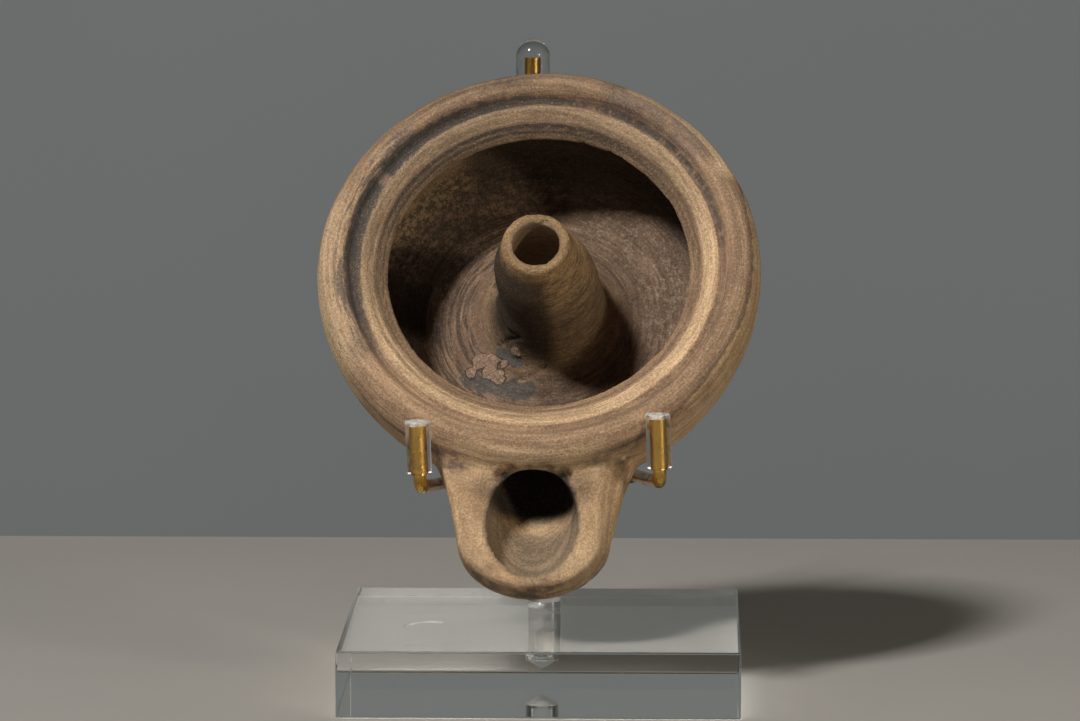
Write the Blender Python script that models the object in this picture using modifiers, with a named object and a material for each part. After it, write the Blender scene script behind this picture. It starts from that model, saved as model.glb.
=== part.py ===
"""Terracotta oil lamp with a central socket cone, leaning in its display cradle.

Metres, +Z up, front towards -Y. The origin is the middle of the underside of
the clear block that the cradle stands in.

The lamp is modelled upright about its own axis, with its foot on z = 0 and
its nozzle towards -Y, and is then leant back as the cradle holds it. It is
one piece of fired clay. The cradle is a clear block, a clear rod, one soldered
frame of brass wire and three clear vinyl sleeves.
"""
import math

import bmesh
import bpy
from mathutils import Matrix, Vector

MM = 0.001
GAP = 0.3 * MM                  # left between pieces that touch
MERGE = 0.01 * MM
TURN_STEPS = 56                 # facets round the lamp
SMALL_STEPS = 24                # facets round the rod, the sleeves and the holes

# The clear block and the rod that stands in it
BLOCK_SIDE = 76.2 * MM
BLOCK_HEIGHT = 12.7 * MM
BLOCK_EDGE = 0.4 * MM
ROD_X = -0.2 * MM
ROD_Y = 23.0 * MM
ROD_RADIUS = 3.175 * MM
ROD_TOP = 31.0 * MM
ROD_HOLE_FLOOR = 4.45 * MM      # shoulder of the drilled hole, above the block's underside
DRILL_POINT = math.radians(59)  # half the angle of a drill's point

# The brass frame
WIRE_RADIUS = 1.25 * MM
WIRE_BEND = 2.2 * MM
STEM_DEPTH = 12.0 * MM          # how far the frame's stem goes down into the rod
HUB_Z = 33.6 * MM               # where the two front arms meet the upright
LEFT_LEG = (Vector((-22.7, -23.0, 41.8)) * MM, 53.4 * MM)      # bend at its foot, height of its top
RIGHT_LEG = (Vector((22.8, -23.6, 43.0)) * MM, 55.0 * MM)
LEG_LEAN = 0.042                # both legs lean a little to the left, as bent by hand
ARM_BESIDE = (20.7 * MM, -8.0 * MM, 1.8 * MM)   # the arms pass the nozzle here, this far below the bend
ARM_BEHIND = (18.0 * MM, 4.0 * MM, 2.7 * MM)    # and turn in under the lamp here
BACK_X = -3.0 * MM
BACK_Y = 43.4 * MM
BACK_KNEE_Z = 66.0 * MM
BACK_TOP = 118.8 * MM

# The clear vinyl sleeves
SLEEVE_RADIUS = 2.38 * MM
SLEEVE_OVERHANG = 1.1 * MM      # the cut end stands this far past the wire
CAP_RADIUS = 3.35 * MM
CAP_LENGTH = 32.0 * MM

# How the cradle holds the lamp
LEAN = math.radians(56.4)       # of the lamp's axis from upright, towards the front
YAW = math.radians(-2.1)
ROLL = math.radians(0.6)
LIP_CENTRE = Vector((-0.84, 2.0, 80.5)) * MM

# The lamp, turned: heights are above its foot, radii from its axis
LIP_HEIGHT = 28.5 * MM
LIP_RADIUS = 29.1 * MM
BELLY_HEIGHT = LIP_HEIGHT - 0.7 * MM
BELLY_RADIUS = 42.9 * MM
SHOULDER = (4.3 * MM, 5.9 * MM)         # radii of the quarter ellipse above the belly
UNDERSIDE = (20.0 * MM, 26.3 * MM)      # and of the one below it
CROWN_HEIGHT = BELLY_HEIGHT + SHOULDER[1]
FOOT_RADIUS = 21.5 * MM
FOOT_HEIGHT = BELLY_HEIGHT - UNDERSIDE[1]
RIDGE_RADIUS = 34.65 * MM
RIDGE_HEIGHT = LIP_HEIGHT + 3.1 * MM
GROOVE_RADIUS = 35.9 * MM
BAND_RADIUS = 31.6 * MM                 # the line cut between the rim's two bands
WALL = 3.9 * MM
FLOOR_HEIGHT = 6.4 * MM

# The hollow socket cone in the middle of the bowl: (depth below its top, outer radius)
SOCKET_TOP = LIP_HEIGHT + 11.4 * MM
SOCKET_STATIONS = (
    (3.4 * MM, 7.0 * MM),
    (6.0 * MM, 8.1 * MM),
    (9.2 * MM, 9.5 * MM),
    (14.5 * MM, 10.6 * MM),
    (21.0 * MM, 11.0 * MM),
    (27.5 * MM, 11.8 * MM),
    (30.5 * MM, 14.0 * MM),
    (32.4 * MM, 17.0 * MM),
)
SOCKET_RADIUS = 6.5 * MM
SOCKET_FOOT_RADIUS = 20.5 * MM
BORE_TOP_RADIUS = 4.5 * MM
BORE_FOOT_RADIUS = 10.0 * MM

# The nozzle, built as level outlines
NOZZLE_TOP = LIP_HEIGHT - 1.6 * MM
NOZZLE_WIDEST = LIP_HEIGHT - 6.0 * MM
NOZZLE_BOTTOM = 3.8 * MM
NOZZLE_REACH = 66.5 * MM                # from the lamp's axis to the tip
NOZZLE_ROOT = 30.0 * MM
NOZZLE_STRAIGHT = 54.5 * MM             # where the sides end and the round tip begins
TIP_HALF_WIDTH = 14.6 * MM
SIDE_SLOPE = 0.215                      # widening of each side towards the bowl
FLARE_START = 45.0 * MM
ROOT_FLARE = 6.7 * MM                   # extra half width where the sides sweep into the bowl
KEEL_RISE = 25.0 * MM                   # how far the underside draws back below the tip
KEEL_POWER = 1.8
KEEL_NARROWING = 0.32
TOP_EDGE = 1.2 * MM
PARED = 3.6 * MM                        # the right side is pared back to the top by this much
PARED_LENGTH = 22.0 * MM                # and the paring runs out over this length at the tip
RAMP_START = 50.0 * MM
RAMP_RISE = 0.025 / MM                  # the top sweeps up into the shoulder
WICK_HOLE = (8.95 * MM, 11.8 * MM, 9.0 * MM)
WICK_HOLE_PLACE = Vector((-0.2, -52.6, 24.5)) * MM
PASSAGE = (7.4 * MM, 5.6 * MM)          # half width and half height of the way to the bowl
PASSAGE_PLACE = Vector((0.0, -42.0, 20.1)) * MM
PASSAGE_FALL = math.radians(12)

PARTS = "terracotta_oil_lamp"
CUTTERS = "cutters"


def clear_scene():
    for old in list(bpy.data.objects):
        bpy.data.objects.remove(old, do_unlink=True)


def collection(name):
    found = bpy.data.collections.get(name)
    if found is None:
        found = bpy.data.collections.new(name)
        bpy.context.scene.collection.children.link(found)
    return found


def material(name, colour, roughness, metallic=0.0, alpha=1.0, transmission=0.0):
    made = bpy.data.materials.new(name)
    made.use_nodes = True
    shader = made.node_tree.nodes["Principled BSDF"]
    shader.inputs["Base Color"].default_value = (*colour, 1.0)
    shader.inputs["Roughness"].default_value = roughness
    shader.inputs["Metallic"].default_value = metallic
    shader.inputs["Alpha"].default_value = alpha
    shader.inputs["Transmission Weight"].default_value = transmission
    return made


def add_part(name, mesh, finish):
    made = bpy.data.objects.new(name, mesh)
    mesh.materials.append(finish)
    collection(PARTS).objects.link(made)
    return made


def add_cutter(name, mesh):
    made = bpy.data.objects.new(name, mesh)
    made.hide_render = True
    made.display_type = "WIRE"
    collection(CUTTERS).objects.link(made)
    return made


def mesh_from_bmesh(name, shape):
    bmesh.ops.recalc_face_normals(shape, faces=shape.faces)
    mesh = bpy.data.meshes.new(name)
    shape.to_mesh(mesh)
    shape.free()
    return mesh


def profile_mesh(name, points, closed=False):
    """An outline of (radius, height) points, for a Screw modifier to turn."""
    shape = bmesh.new()
    verts = [shape.verts.new((radius, 0.0, height)) for radius, height in points]
    for first, second in zip(verts, verts[1:]):
        shape.edges.new((first, second))
    if closed:
        shape.edges.new((verts[-1], verts[0]))
    mesh = bpy.data.meshes.new(name)
    shape.to_mesh(mesh)
    shape.free()
    return mesh


def turn(target, steps):
    screw = target.modifiers.new("turned", "SCREW")
    screw.axis = "Z"
    screw.angle = math.tau
    screw.steps = steps
    screw.render_steps = steps
    screw.use_merge_vertices = True
    screw.merge_threshold = MERGE


def combine(target, other, operation):
    boolean = target.modifiers.new(other.name, "BOOLEAN")
    boolean.object = other
    boolean.operation = operation
    boolean.solver = "EXACT"


def ellipse_arc(centre, radii, start, end, steps):
    """Points of an ellipse from angle start to angle end, in degrees, both ends included."""
    points = []
    for step in range(steps + 1):
        angle = math.radians(start + (end - start) * step / steps)
        points.append((centre[0] + radii[0] * math.cos(angle), centre[1] + radii[1] * math.sin(angle)))
    return points


def socket_profile():
    """From the socket's rim down the cone to the bowl's floor."""
    round_edge = 0.45 * MM
    points = [
        (BORE_TOP_RADIUS + round_edge, SOCKET_TOP),
        (SOCKET_RADIUS - round_edge, SOCKET_TOP),
        (SOCKET_RADIUS, SOCKET_TOP - round_edge),
    ]
    points += [(radius, SOCKET_TOP - depth) for depth, radius in SOCKET_STATIONS]
    return points + [(SOCKET_FOOT_RADIUS, FLOOR_HEIGHT)]


def bowl_profile():
    """From the floor up the wall and over to the underside of the rim's lip."""
    inner = (UNDERSIDE[0] - WALL, BELLY_HEIGHT - FLOOR_HEIGHT)
    centre = (BELLY_RADIUS - UNDERSIDE[0], BELLY_HEIGHT)
    wall = ellipse_arc(centre, inner, -78, -8, 7)
    roof_radii = (4.2 * MM, 3.4 * MM)
    roof_centre = (wall[-1][0] - roof_radii[0], wall[-1][1] + 0.6 * MM)
    roof = ellipse_arc(roof_centre, roof_radii, 12, 84, 3)
    lip_underside = (LIP_RADIUS + 0.9 * MM, LIP_HEIGHT - 1.5 * MM)
    return wall + roof + [lip_underside]


def rim_profile():
    """From the lip out over the two bands, the ridge and the groove to the crown."""
    return [
        (LIP_RADIUS + 0.1 * MM, LIP_HEIGHT - 0.8 * MM),
        (LIP_RADIUS, LIP_HEIGHT),
        (LIP_RADIUS + 0.5 * MM, LIP_HEIGHT + 0.6 * MM),
        (BAND_RADIUS - 0.2 * MM, LIP_HEIGHT + 1.7 * MM),
        (BAND_RADIUS + 0.1 * MM, LIP_HEIGHT + 1.55 * MM),
        (BAND_RADIUS + 0.5 * MM, LIP_HEIGHT + 2.15 * MM),
        (RIDGE_RADIUS - 0.7 * MM, RIDGE_HEIGHT),
        (RIDGE_RADIUS + 0.1 * MM, RIDGE_HEIGHT - 0.05 * MM),
        (GROOVE_RADIUS - 0.5 * MM, RIDGE_HEIGHT - 0.65 * MM),
        (GROOVE_RADIUS, RIDGE_HEIGHT - 0.6 * MM),
        (GROOVE_RADIUS + 0.8 * MM, RIDGE_HEIGHT + 0.9 * MM),
    ]


def outer_profile():
    """From the crown over the shoulder and down the underside to the foot."""
    centre_above = (BELLY_RADIUS - SHOULDER[0], BELLY_HEIGHT)
    centre_below = (BELLY_RADIUS - UNDERSIDE[0], BELLY_HEIGHT)
    shoulder = ellipse_arc(centre_above, SHOULDER, 105, 15, 6)
    underside = ellipse_arc(centre_below, UNDERSIDE, 0, -88, 10)
    foot = [(FOOT_RADIUS, FOOT_HEIGHT - 0.3 * MM), (FOOT_RADIUS - 0.5 * MM, 0.0)]
    return shoulder + underside + foot


def bore_profile():
    """From the foot up the inside of the hollow cone."""
    round_edge = 0.45 * MM
    return [(BORE_FOOT_RADIUS, 0.0), (BORE_TOP_RADIUS, SOCKET_TOP - round_edge)]


def nozzle_half_width(out, below):
    """Half width of the straight sides, at a distance from the axis and a depth from 0 to 1."""
    flare = max(0.0, (FLARE_START - out) / (FLARE_START - NOZZLE_ROOT)) ** 2
    width = TIP_HALF_WIDTH + SIDE_SLOPE * (NOZZLE_STRAIGHT - out)
    return width + ROOT_FLARE * flare * (1.0 - below)


def nozzle_lift(x, y):
    """How far the top has swept up towards the shoulder."""
    return RAMP_RISE * max(0.0, RAMP_START - math.hypot(x, y)) ** 2


def nozzle_outline(height, inset):
    """One level of the nozzle: down the left side, round the tip and up the right side."""
    below = max(0.0, (NOZZLE_WIDEST - height) / (NOZZLE_WIDEST - NOZZLE_BOTTOM))
    above = max(0.0, (height - NOZZLE_WIDEST) / (NOZZLE_TOP - NOZZLE_WIDEST))
    narrowing = 1.0 - KEEL_NARROWING * below ** 2
    reach = NOZZLE_REACH - inset - KEEL_RISE * below ** KEEL_POWER
    tip = (TIP_HALF_WIDTH - inset) * narrowing
    straight = min(NOZZLE_STRAIGHT, reach - 0.8 * tip)
    side_steps = 7
    tip_steps = 16
    halves = []
    for step in range(side_steps):
        out = NOZZLE_ROOT + (straight - NOZZLE_ROOT) * step / side_steps
        halves.append(((nozzle_half_width(out, below) - inset) * narrowing, out))
    outline = [(-half, out) for half, out in halves]
    for step in range(tip_steps + 1):
        angle = math.pi * step / tip_steps
        outline.append((-tip * math.cos(angle), straight + (reach - straight) * math.sin(angle)))
    outline += [(half, out) for half, out in reversed(halves)]
    points = []
    for x, out in outline:
        if x > 0.0:
            x -= PARED * above * min(1.0, (NOZZLE_REACH - out) / PARED_LENGTH) * min(1.0, x / tip)
        points.append(Vector((x, -out, height + above * nozzle_lift(x, out))))
    return points


def nozzle_levels():
    """Heights and insets: the rounded top edge first, then down to the keel."""
    levels = []
    for angle in (0.0, 30.0, 60.0, 90.0):
        inset = TOP_EDGE * (1.0 - math.sin(math.radians(angle)))
        height = NOZZLE_TOP - TOP_EDGE * (1.0 - math.cos(math.radians(angle)))
        levels.append((height, inset))
    lower_steps = 7
    for step in range(lower_steps + 1):
        levels.append((NOZZLE_WIDEST + (NOZZLE_BOTTOM - NOZZLE_WIDEST) * step / lower_steps, 0.0))
    return levels


def nozzle_mesh():
    """The solid nozzle, lofted through its level outlines from the top down."""
    shape = bmesh.new()
    rings = []
    for height, inset in nozzle_levels():
        rings.append([shape.verts.new(point) for point in nozzle_outline(height, inset)])
    count = len(rings[0])
    for upper, lower in zip(rings, rings[1:]):
        for index in range(count):
            following = (index + 1) % count
            shape.faces.new((upper[index], upper[following], lower[following], lower[index]))
    shape.faces.new(rings[-1])
    close_top(shape, rings[0])
    return mesh_from_bmesh("nozzle", shape)


def close_top(shape, ring):
    """Rows across the top from left to right, so that its sweep is kept in the middle too."""
    columns = 4
    pairs = len(ring) // 2
    rows = []
    for index in range(pairs):
        left = ring[index]
        right = ring[-1 - index]
        row = [left]
        for column in range(1, columns):
            place = left.co.lerp(right.co, column / columns)
            place.z = NOZZLE_TOP + nozzle_lift(place.x, place.y)
            row.append(shape.verts.new(place))
        rows.append(row + [right])
    for outer, inner in zip(rows, rows[1:]):
        for column in range(columns):
            shape.faces.new((outer[column], outer[column + 1], inner[column + 1], inner[column]))
    tip = ring[pairs]
    for first, second in zip(rows[-1], rows[-1][1:]):
        shape.faces.new((first, second, tip))
    shape.faces.new(rows[0])


def ellipsoid_mesh(name, radii):
    shape = bmesh.new()
    bmesh.ops.create_uvsphere(shape, u_segments=28, v_segments=16, radius=1.0)
    bmesh.ops.scale(shape, vec=radii, verts=shape.verts)
    return mesh_from_bmesh(name, shape)


def passage_mesh():
    """An oval bar that runs back and down from the wick hole into the bowl."""
    half_length = 13.0 * MM
    shape = bmesh.new()
    bmesh.ops.create_cone(
        shape, cap_ends=True, segments=SMALL_STEPS, radius1=1.0, radius2=1.0, depth=2 * half_length,
    )
    bmesh.ops.scale(shape, vec=(PASSAGE[0], PASSAGE[1], 1.0), verts=shape.verts)
    return mesh_from_bmesh("wick_passage", shape)


def wall_middle_profile():
    """A solid that ends within the lamp's wall, to trim the nozzle's root to it."""
    inset = 0.5 * WALL
    centre = (BELLY_RADIUS - UNDERSIDE[0], BELLY_HEIGHT)
    below = ellipse_arc(centre, (UNDERSIDE[0] - inset, UNDERSIDE[1] - inset), 0, -88, 10)
    top = CROWN_HEIGHT + 5 * MM
    above = [(0.0, top), (BELLY_RADIUS - inset, top)]
    return above + below + [(0.0, below[-1][1])]


def make_lamp(clay):
    pose = bpy.data.objects.new("lamp_pose", None)
    collection(PARTS).objects.link(pose)
    turned = Matrix.Rotation(YAW, 4, "Z") @ Matrix.Rotation(LEAN, 4, "X") @ Matrix.Rotation(ROLL, 4, "Z")
    pose.rotation_euler = turned.to_euler()
    pose.location = LIP_CENTRE - turned @ Vector((0.0, 0.0, LIP_HEIGHT))

    profile = socket_profile() + bowl_profile() + rim_profile() + outer_profile() + bore_profile()
    lamp = add_part("lamp", profile_mesh("lamp", profile, closed=True), clay)
    turn(lamp, TURN_STEPS)

    nozzle = add_cutter("nozzle", nozzle_mesh())
    wall_middle = add_cutter("wall_middle", profile_mesh("wall_middle", wall_middle_profile()))
    turn(wall_middle, TURN_STEPS)
    combine(nozzle, wall_middle, "DIFFERENCE")

    wick_hole = add_cutter("wick_hole", ellipsoid_mesh("wick_hole", WICK_HOLE))
    wick_hole.location = WICK_HOLE_PLACE
    passage = add_cutter("wick_passage", passage_mesh())
    passage.location = PASSAGE_PLACE
    passage.rotation_euler = (math.radians(90) - PASSAGE_FALL, 0.0, 0.0)

    for helper in (lamp, nozzle, wall_middle, wick_hole, passage):
        helper.parent = pose
    combine(lamp, nozzle, "UNION")
    combine(lamp, wick_hole, "DIFFERENCE")
    combine(lamp, passage, "DIFFERENCE")
    return lamp


def make_block(acrylic):
    shape = bmesh.new()
    bmesh.ops.create_cube(shape, size=1.0)
    bmesh.ops.scale(shape, vec=(BLOCK_SIDE, BLOCK_SIDE, BLOCK_HEIGHT), verts=shape.verts)
    block = add_part("acrylic_block", mesh_from_bmesh("acrylic_block", shape), acrylic)
    block.location = (0.0, 0.0, BLOCK_HEIGHT / 2)
    bevel = block.modifiers.new("polished_edges", "BEVEL")
    bevel.width = BLOCK_EDGE
    bevel.segments = 2

    radius = ROD_RADIUS + GAP
    above = BLOCK_HEIGHT + 2 * MM
    apex = ROD_HOLE_FLOOR - radius / math.tan(DRILL_POINT)
    outline = [(0.0, above), (radius, above), (radius, ROD_HOLE_FLOOR), (0.0, apex)]
    drilled = add_cutter("drilled_hole", profile_mesh("drilled_hole", outline))
    drilled.location = (ROD_X, ROD_Y, 0.0)
    turn(drilled, SMALL_STEPS)
    combine(block, drilled, "DIFFERENCE")
    return block


def make_rod(acrylic):
    """The rod stands on the hole's shoulder and is drilled down from the top for the stem."""
    stem_hole = WIRE_RADIUS + GAP
    floor = ROD_TOP - STEM_DEPTH - GAP
    bottom = ROD_HOLE_FLOOR + GAP
    edge = 0.25 * MM
    outline = [
        (0.0, floor),
        (stem_hole, floor),
        (stem_hole, ROD_TOP),
        (ROD_RADIUS - edge, ROD_TOP),
        (ROD_RADIUS, ROD_TOP - edge),
        (ROD_RADIUS, bottom + edge),
        (ROD_RADIUS - edge, bottom),
        (0.0, bottom),
    ]
    rod = add_part("acrylic_rod", profile_mesh("acrylic_rod", outline), acrylic)
    rod.location = (ROD_X, ROD_Y, 0.0)
    turn(rod, SMALL_STEPS)
    return rod


def bent_path(corners, radius, steps=5):
    """The middle line of a wire through its corners, with each corner bent to a radius."""
    points = [corners[0]]
    for before, corner, after in zip(corners, corners[1:], corners[2:]):
        back = (before - corner).normalized()
        onward = (after - corner).normalized()
        half = back.angle(onward) / 2
        centre = corner + (back + onward).normalized() * (radius / math.sin(half))
        start = (corner + back * (radius / math.tan(half)) - centre).normalized()
        end = (corner + onward * (radius / math.tan(half)) - centre).normalized()
        for step in range(steps + 1):
            points.append(centre + start.slerp(end, step / steps) * radius)
    points.append(corners[-1])
    return points


def wire_object(name, points):
    """A round wire along the points, as a closed mesh."""
    curve = bpy.data.curves.new(name, "CURVE")
    curve.dimensions = "3D"
    curve.bevel_depth = WIRE_RADIUS
    curve.bevel_resolution = 2
    curve.use_fill_caps = True
    spline = curve.splines.new("POLY")
    spline.points.add(len(points) - 1)
    for point, place in zip(spline.points, points):
        point.co = (*place, 1.0)
    guide = bpy.data.objects.new(name + "_guide", curve)
    collection(CUTTERS).objects.link(guide)
    bpy.context.view_layer.update()
    mesh = bpy.data.meshes.new_from_object(guide.evaluated_get(bpy.context.evaluated_depsgraph_get()))
    mesh.name = name
    bpy.data.objects.remove(guide, do_unlink=True)
    shape = bmesh.new()
    shape.from_mesh(mesh)
    bmesh.ops.remove_doubles(shape, verts=shape.verts, dist=MERGE)
    shape.to_mesh(mesh)
    shape.free()
    return mesh


def leg_point(leg, height):
    """A point of a front leg, which leans a little to the left as it rises."""
    bend = leg[0]
    return Vector((bend.x - LEG_LEAN * (height - bend.z), bend.y, height))


def arm_point(leg, place):
    across, along, drop = place
    return Vector((math.copysign(across, leg[0].x), along, leg[0].z - drop))


def make_frame(brass):
    """Stem and back upright in one wire, with the two front hooks soldered to it."""
    stem_foot = Vector((ROD_X, ROD_Y, ROD_TOP - STEM_DEPTH))
    hub = Vector((ROD_X, ROD_Y, HUB_Z))
    upright = bent_path(
        [
            stem_foot,
            hub + Vector((0.0, 0.0, 3.0 * MM)),
            Vector((BACK_X, BACK_Y, BACK_KNEE_Z)),
            Vector((BACK_X, BACK_Y, BACK_TOP)),
        ],
        2 * WIRE_BEND,
    )
    frame = add_part("brass_cradle", wire_object("brass_cradle", upright), brass)
    for name, leg in (("left_hook", LEFT_LEG), ("right_hook", RIGHT_LEG)):
        start = hub + Vector((math.copysign(0.35 * WIRE_RADIUS, leg[0].x), 0.0, 0.0))
        corners = [start, arm_point(leg, ARM_BEHIND), arm_point(leg, ARM_BESIDE), leg[0]]
        path = bent_path(corners + [leg_point(leg, leg[1])], WIRE_BEND)
        combine(frame, add_cutter(name, wire_object(name, path)), "UNION")
    return frame


def make_sleeve(name, leg, vinyl):
    """A cut length of clear tube pushed down over a front leg to its bend."""
    inner = WIRE_RADIUS + GAP
    low = leg[0].z + WIRE_BEND + GAP
    length = (leg[1] - low) * math.hypot(1.0, LEG_LEAN) + SLEEVE_OVERHANG
    outline = [(inner, length), (SLEEVE_RADIUS, length), (SLEEVE_RADIUS, 0.0), (inner, 0.0)]
    sleeve = add_part(name, profile_mesh(name, outline, closed=True), vinyl)
    sleeve.location = leg_point(leg, low)
    sleeve.rotation_euler = (0.0, -math.atan(LEG_LEAN), 0.0)
    turn(sleeve, SMALL_STEPS)
    return sleeve


def make_cap(vinyl):
    """The back upright's sleeve, dipped to a closed round end."""
    inner = WIRE_RADIUS + GAP
    wire_end = BACK_TOP + GAP
    dome_centre = BACK_TOP + 0.35 * MM
    outline = [(0.0, dome_centre + CAP_RADIUS)]
    outline += ellipse_arc((0.0, dome_centre), (CAP_RADIUS, CAP_RADIUS), 75, 0, 5)
    outline += [(CAP_RADIUS, dome_centre - CAP_LENGTH), (inner, dome_centre - CAP_LENGTH)]
    outline += [(inner, wire_end), (0.0, wire_end)]
    cap = add_part("sleeve_top", profile_mesh("sleeve_top", outline), vinyl)
    cap.location = (BACK_X, BACK_Y, 0.0)
    turn(cap, SMALL_STEPS)
    return cap


def main():
    clear_scene()
    clay = material("fired_clay", (0.45, 0.32, 0.21), 0.85)
    acrylic = material("clear_acrylic", (0.93, 0.95, 0.96), 0.04, alpha=0.35, transmission=1.0)
    brass = material("polished_brass", (0.72, 0.52, 0.18), 0.22, metallic=1.0)
    vinyl = material("clear_vinyl", (0.93, 0.93, 0.9), 0.18, alpha=0.35, transmission=1.0)
    make_block(acrylic)
    make_rod(acrylic)
    make_frame(brass)
    make_sleeve("sleeve_left", LEFT_LEG, vinyl)
    make_sleeve("sleeve_right", RIGHT_LEG, vinyl)
    make_cap(vinyl)
    make_lamp(clay)


main()
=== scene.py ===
"""Looks of the terracotta oil lamp in its display cradle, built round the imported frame."""

import math

import bmesh
import bpy
import numpy as np
from mathutils import Matrix, Vector


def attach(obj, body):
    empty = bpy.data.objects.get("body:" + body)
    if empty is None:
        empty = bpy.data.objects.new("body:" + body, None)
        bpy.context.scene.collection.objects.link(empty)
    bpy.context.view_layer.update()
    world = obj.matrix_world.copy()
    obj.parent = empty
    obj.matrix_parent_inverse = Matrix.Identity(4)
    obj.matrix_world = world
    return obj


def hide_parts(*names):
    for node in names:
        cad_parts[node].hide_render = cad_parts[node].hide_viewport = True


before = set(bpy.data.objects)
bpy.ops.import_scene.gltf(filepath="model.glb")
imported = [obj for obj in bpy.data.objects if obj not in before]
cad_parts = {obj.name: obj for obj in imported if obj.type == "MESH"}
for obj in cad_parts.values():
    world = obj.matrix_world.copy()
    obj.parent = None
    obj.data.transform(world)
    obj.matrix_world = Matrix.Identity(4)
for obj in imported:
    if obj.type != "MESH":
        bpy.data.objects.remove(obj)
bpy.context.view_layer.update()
MM = 0.001


# ---------------------------------------------------------------------------
# Clear block
# A three inch square sawn from half inch cast acrylic sheet, its edges flame
# polished. It is drilled part way down from the top for the rod, off centre.
# ---------------------------------------------------------------------------
BLOCK_SIDE = 76.2 * MM
BLOCK_HEIGHT = 12.7 * MM
BLOCK_EDGE = 0.4 * MM
ROD_PLACE = Vector((-0.2, 23.0, 0.0)) * MM
ROD_RADIUS = 3.175 * MM
ROD_SLACK = 0.04 * MM              # between the rod and the side of its hole
DRILLED_TO = 4.45 * MM
DRILL_POINT = math.radians(59)     # half the angle of the drill's point
ROUND_STEPS = 96

# marks of handling on the block's top, in millimetres: each starts and ends softly from left to right
SCUFF = ((-27.4, -24.5), (-19.4, -18.8))
SCUFF_CREST = (-21.5, -3.9)
SCRATCH = ((-30.0, -27.0), (-9.0, -5.0))
SCRATCH_BACK = 28.0


class Value:
    """A shader socket. Used in an expression, it adds the Math nodes that the expression needs."""

    def __init__(self, finish, socket):
        self.finish = finish
        self.socket = socket

    def _math(self, operation, first, second=None):
        values = {0: first} if second is None else {0: first, 1: second}
        return self.finish.node("ShaderNodeMath", {"operation": operation}, values)

    def __add__(self, other):
        return self._math("ADD", self, other)

    __radd__ = __add__

    def __mul__(self, other):
        return self._math("MULTIPLY", self, other)

    __rmul__ = __mul__

    def __sub__(self, other):
        return self._math("SUBTRACT", self, other)

    def __rsub__(self, other):
        return self._math("SUBTRACT", other, self)

    def __truediv__(self, other):
        return self._math("DIVIDE", self, other)

    def __rtruediv__(self, other):
        return self._math("DIVIDE", other, self)

    def __and__(self, other):
        """The lesser of the two."""
        return self._math("MINIMUM", self, other)

    __rand__ = __and__


class Finish:
    """A material under construction: a Principled shader and the nodes that feed it."""

    def __init__(self, name, **plain):
        self.material = bpy.data.materials.new(name)
        self.material.use_nodes = True
        self.tree = self.material.node_tree
        self.shader = self.tree.nodes["Principled BSDF"]
        for label, value in plain.items():
            self.shader.inputs[label.replace("_", " ")].default_value = value

    def node(self, kind, settings=None, values=None, output=0):
        """Any node: its settings first, then the values or links of its sockets."""
        made = self.tree.nodes.new(kind)
        for label, setting in (settings or {}).items():
            setattr(made, label, setting)
        for key, value in (values or {}).items():
            self._feed(made.inputs[key], value)
        return Value(self, made.outputs[output])

    def _feed(self, socket, value):
        if isinstance(value, Value):
            self.tree.links.new(value.socket, socket)
        elif isinstance(value, (tuple, list)) and len(value) == 3 and socket.type == "RGBA":
            socket.default_value = (*value, 1.0)
        else:
            socket.default_value = value

    def place(self):
        return self.node("ShaderNodeTexCoord", output="Object")

    def attribute(self, name, output="Fac"):
        return self.node("ShaderNodeAttribute", {"attribute_name": name}, output=output)

    def noise(self, place, scale, detail=3.0, roughness=0.55):
        values = {"Vector": place, "Scale": scale, "Detail": detail, "Roughness": roughness}
        return self.node("ShaderNodeTexNoise", None, values)

    def fade(self, value, low, high):
        """0 below low and 1 above high, with a smooth change between."""
        values = {"Value": value, "From Min": low, "From Max": high}
        return self.node("ShaderNodeMapRange", {"interpolation_type": "SMOOTHSTEP"}, values)

    def between(self, value, rise, fall):
        """1 between two smooth changes, a rise from 0 and a fall back to 0."""
        return self.fade(value, *rise) * (1.0 - self.fade(value, *fall))

    def mix(self, factor, below, above, blend="MIX"):
        settings = {"data_type": "RGBA", "blend_type": blend}
        return self.node("ShaderNodeMix", settings, {0: factor, 6: below, 7: above}, output=2)

    def coordinate(self, place, axis):
        return self.node("ShaderNodeSeparateXYZ", None, {0: place}, output=axis)

    def stretched(self, place, scale):
        return self.node("ShaderNodeMapping", None, {"Vector": place, "Scale": scale})

    def surface(self, **fed):
        for label, value in fed.items():
            self._feed(self.shader.inputs[label.replace("_", " ")], value)

    def pass_lamp_light(self, frosted=None):
        """Lamp light goes straight through, so that what stands behind clear plastic isn't left dark."""
        ray = self.node("ShaderNodeLightPath", output="Is Shadow Ray")
        through = self.node("ShaderNodeBsdfTransparent", None, {"Color": (0.93, 0.94, 0.935)})
        shader = Value(self, self.shader.outputs["BSDF"])
        if frosted is not None:
            frost = self.node("ShaderNodeBsdfDiffuse", None, {"Color": (0.66, 0.68, 0.68)})
            shader = self.node("ShaderNodeMixShader", None, {0: frosted, 1: shader, 2: frost})
        mixed = self.node("ShaderNodeMixShader", None, {0: ray, 1: shader, 2: through})
        self._feed(self.tree.nodes["Material Output"].inputs["Surface"], mixed)

    def bump(self, height, strength, distance, onto=None):
        values = {"Height": height, "Strength": strength, "Distance": distance}
        if onto is not None:
            values["Normal"] = onto
        return self.node("ShaderNodeBump", None, values)


def add_piece(name, mesh, finish, node):
    """A finished piece on the one body, in place of the named node."""
    piece = bpy.data.objects.new(name, mesh)
    bpy.context.scene.collection.objects.link(piece)
    mesh.materials.clear()
    mesh.materials.append(finish.material)
    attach(piece, "root")
    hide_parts(node)


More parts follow.
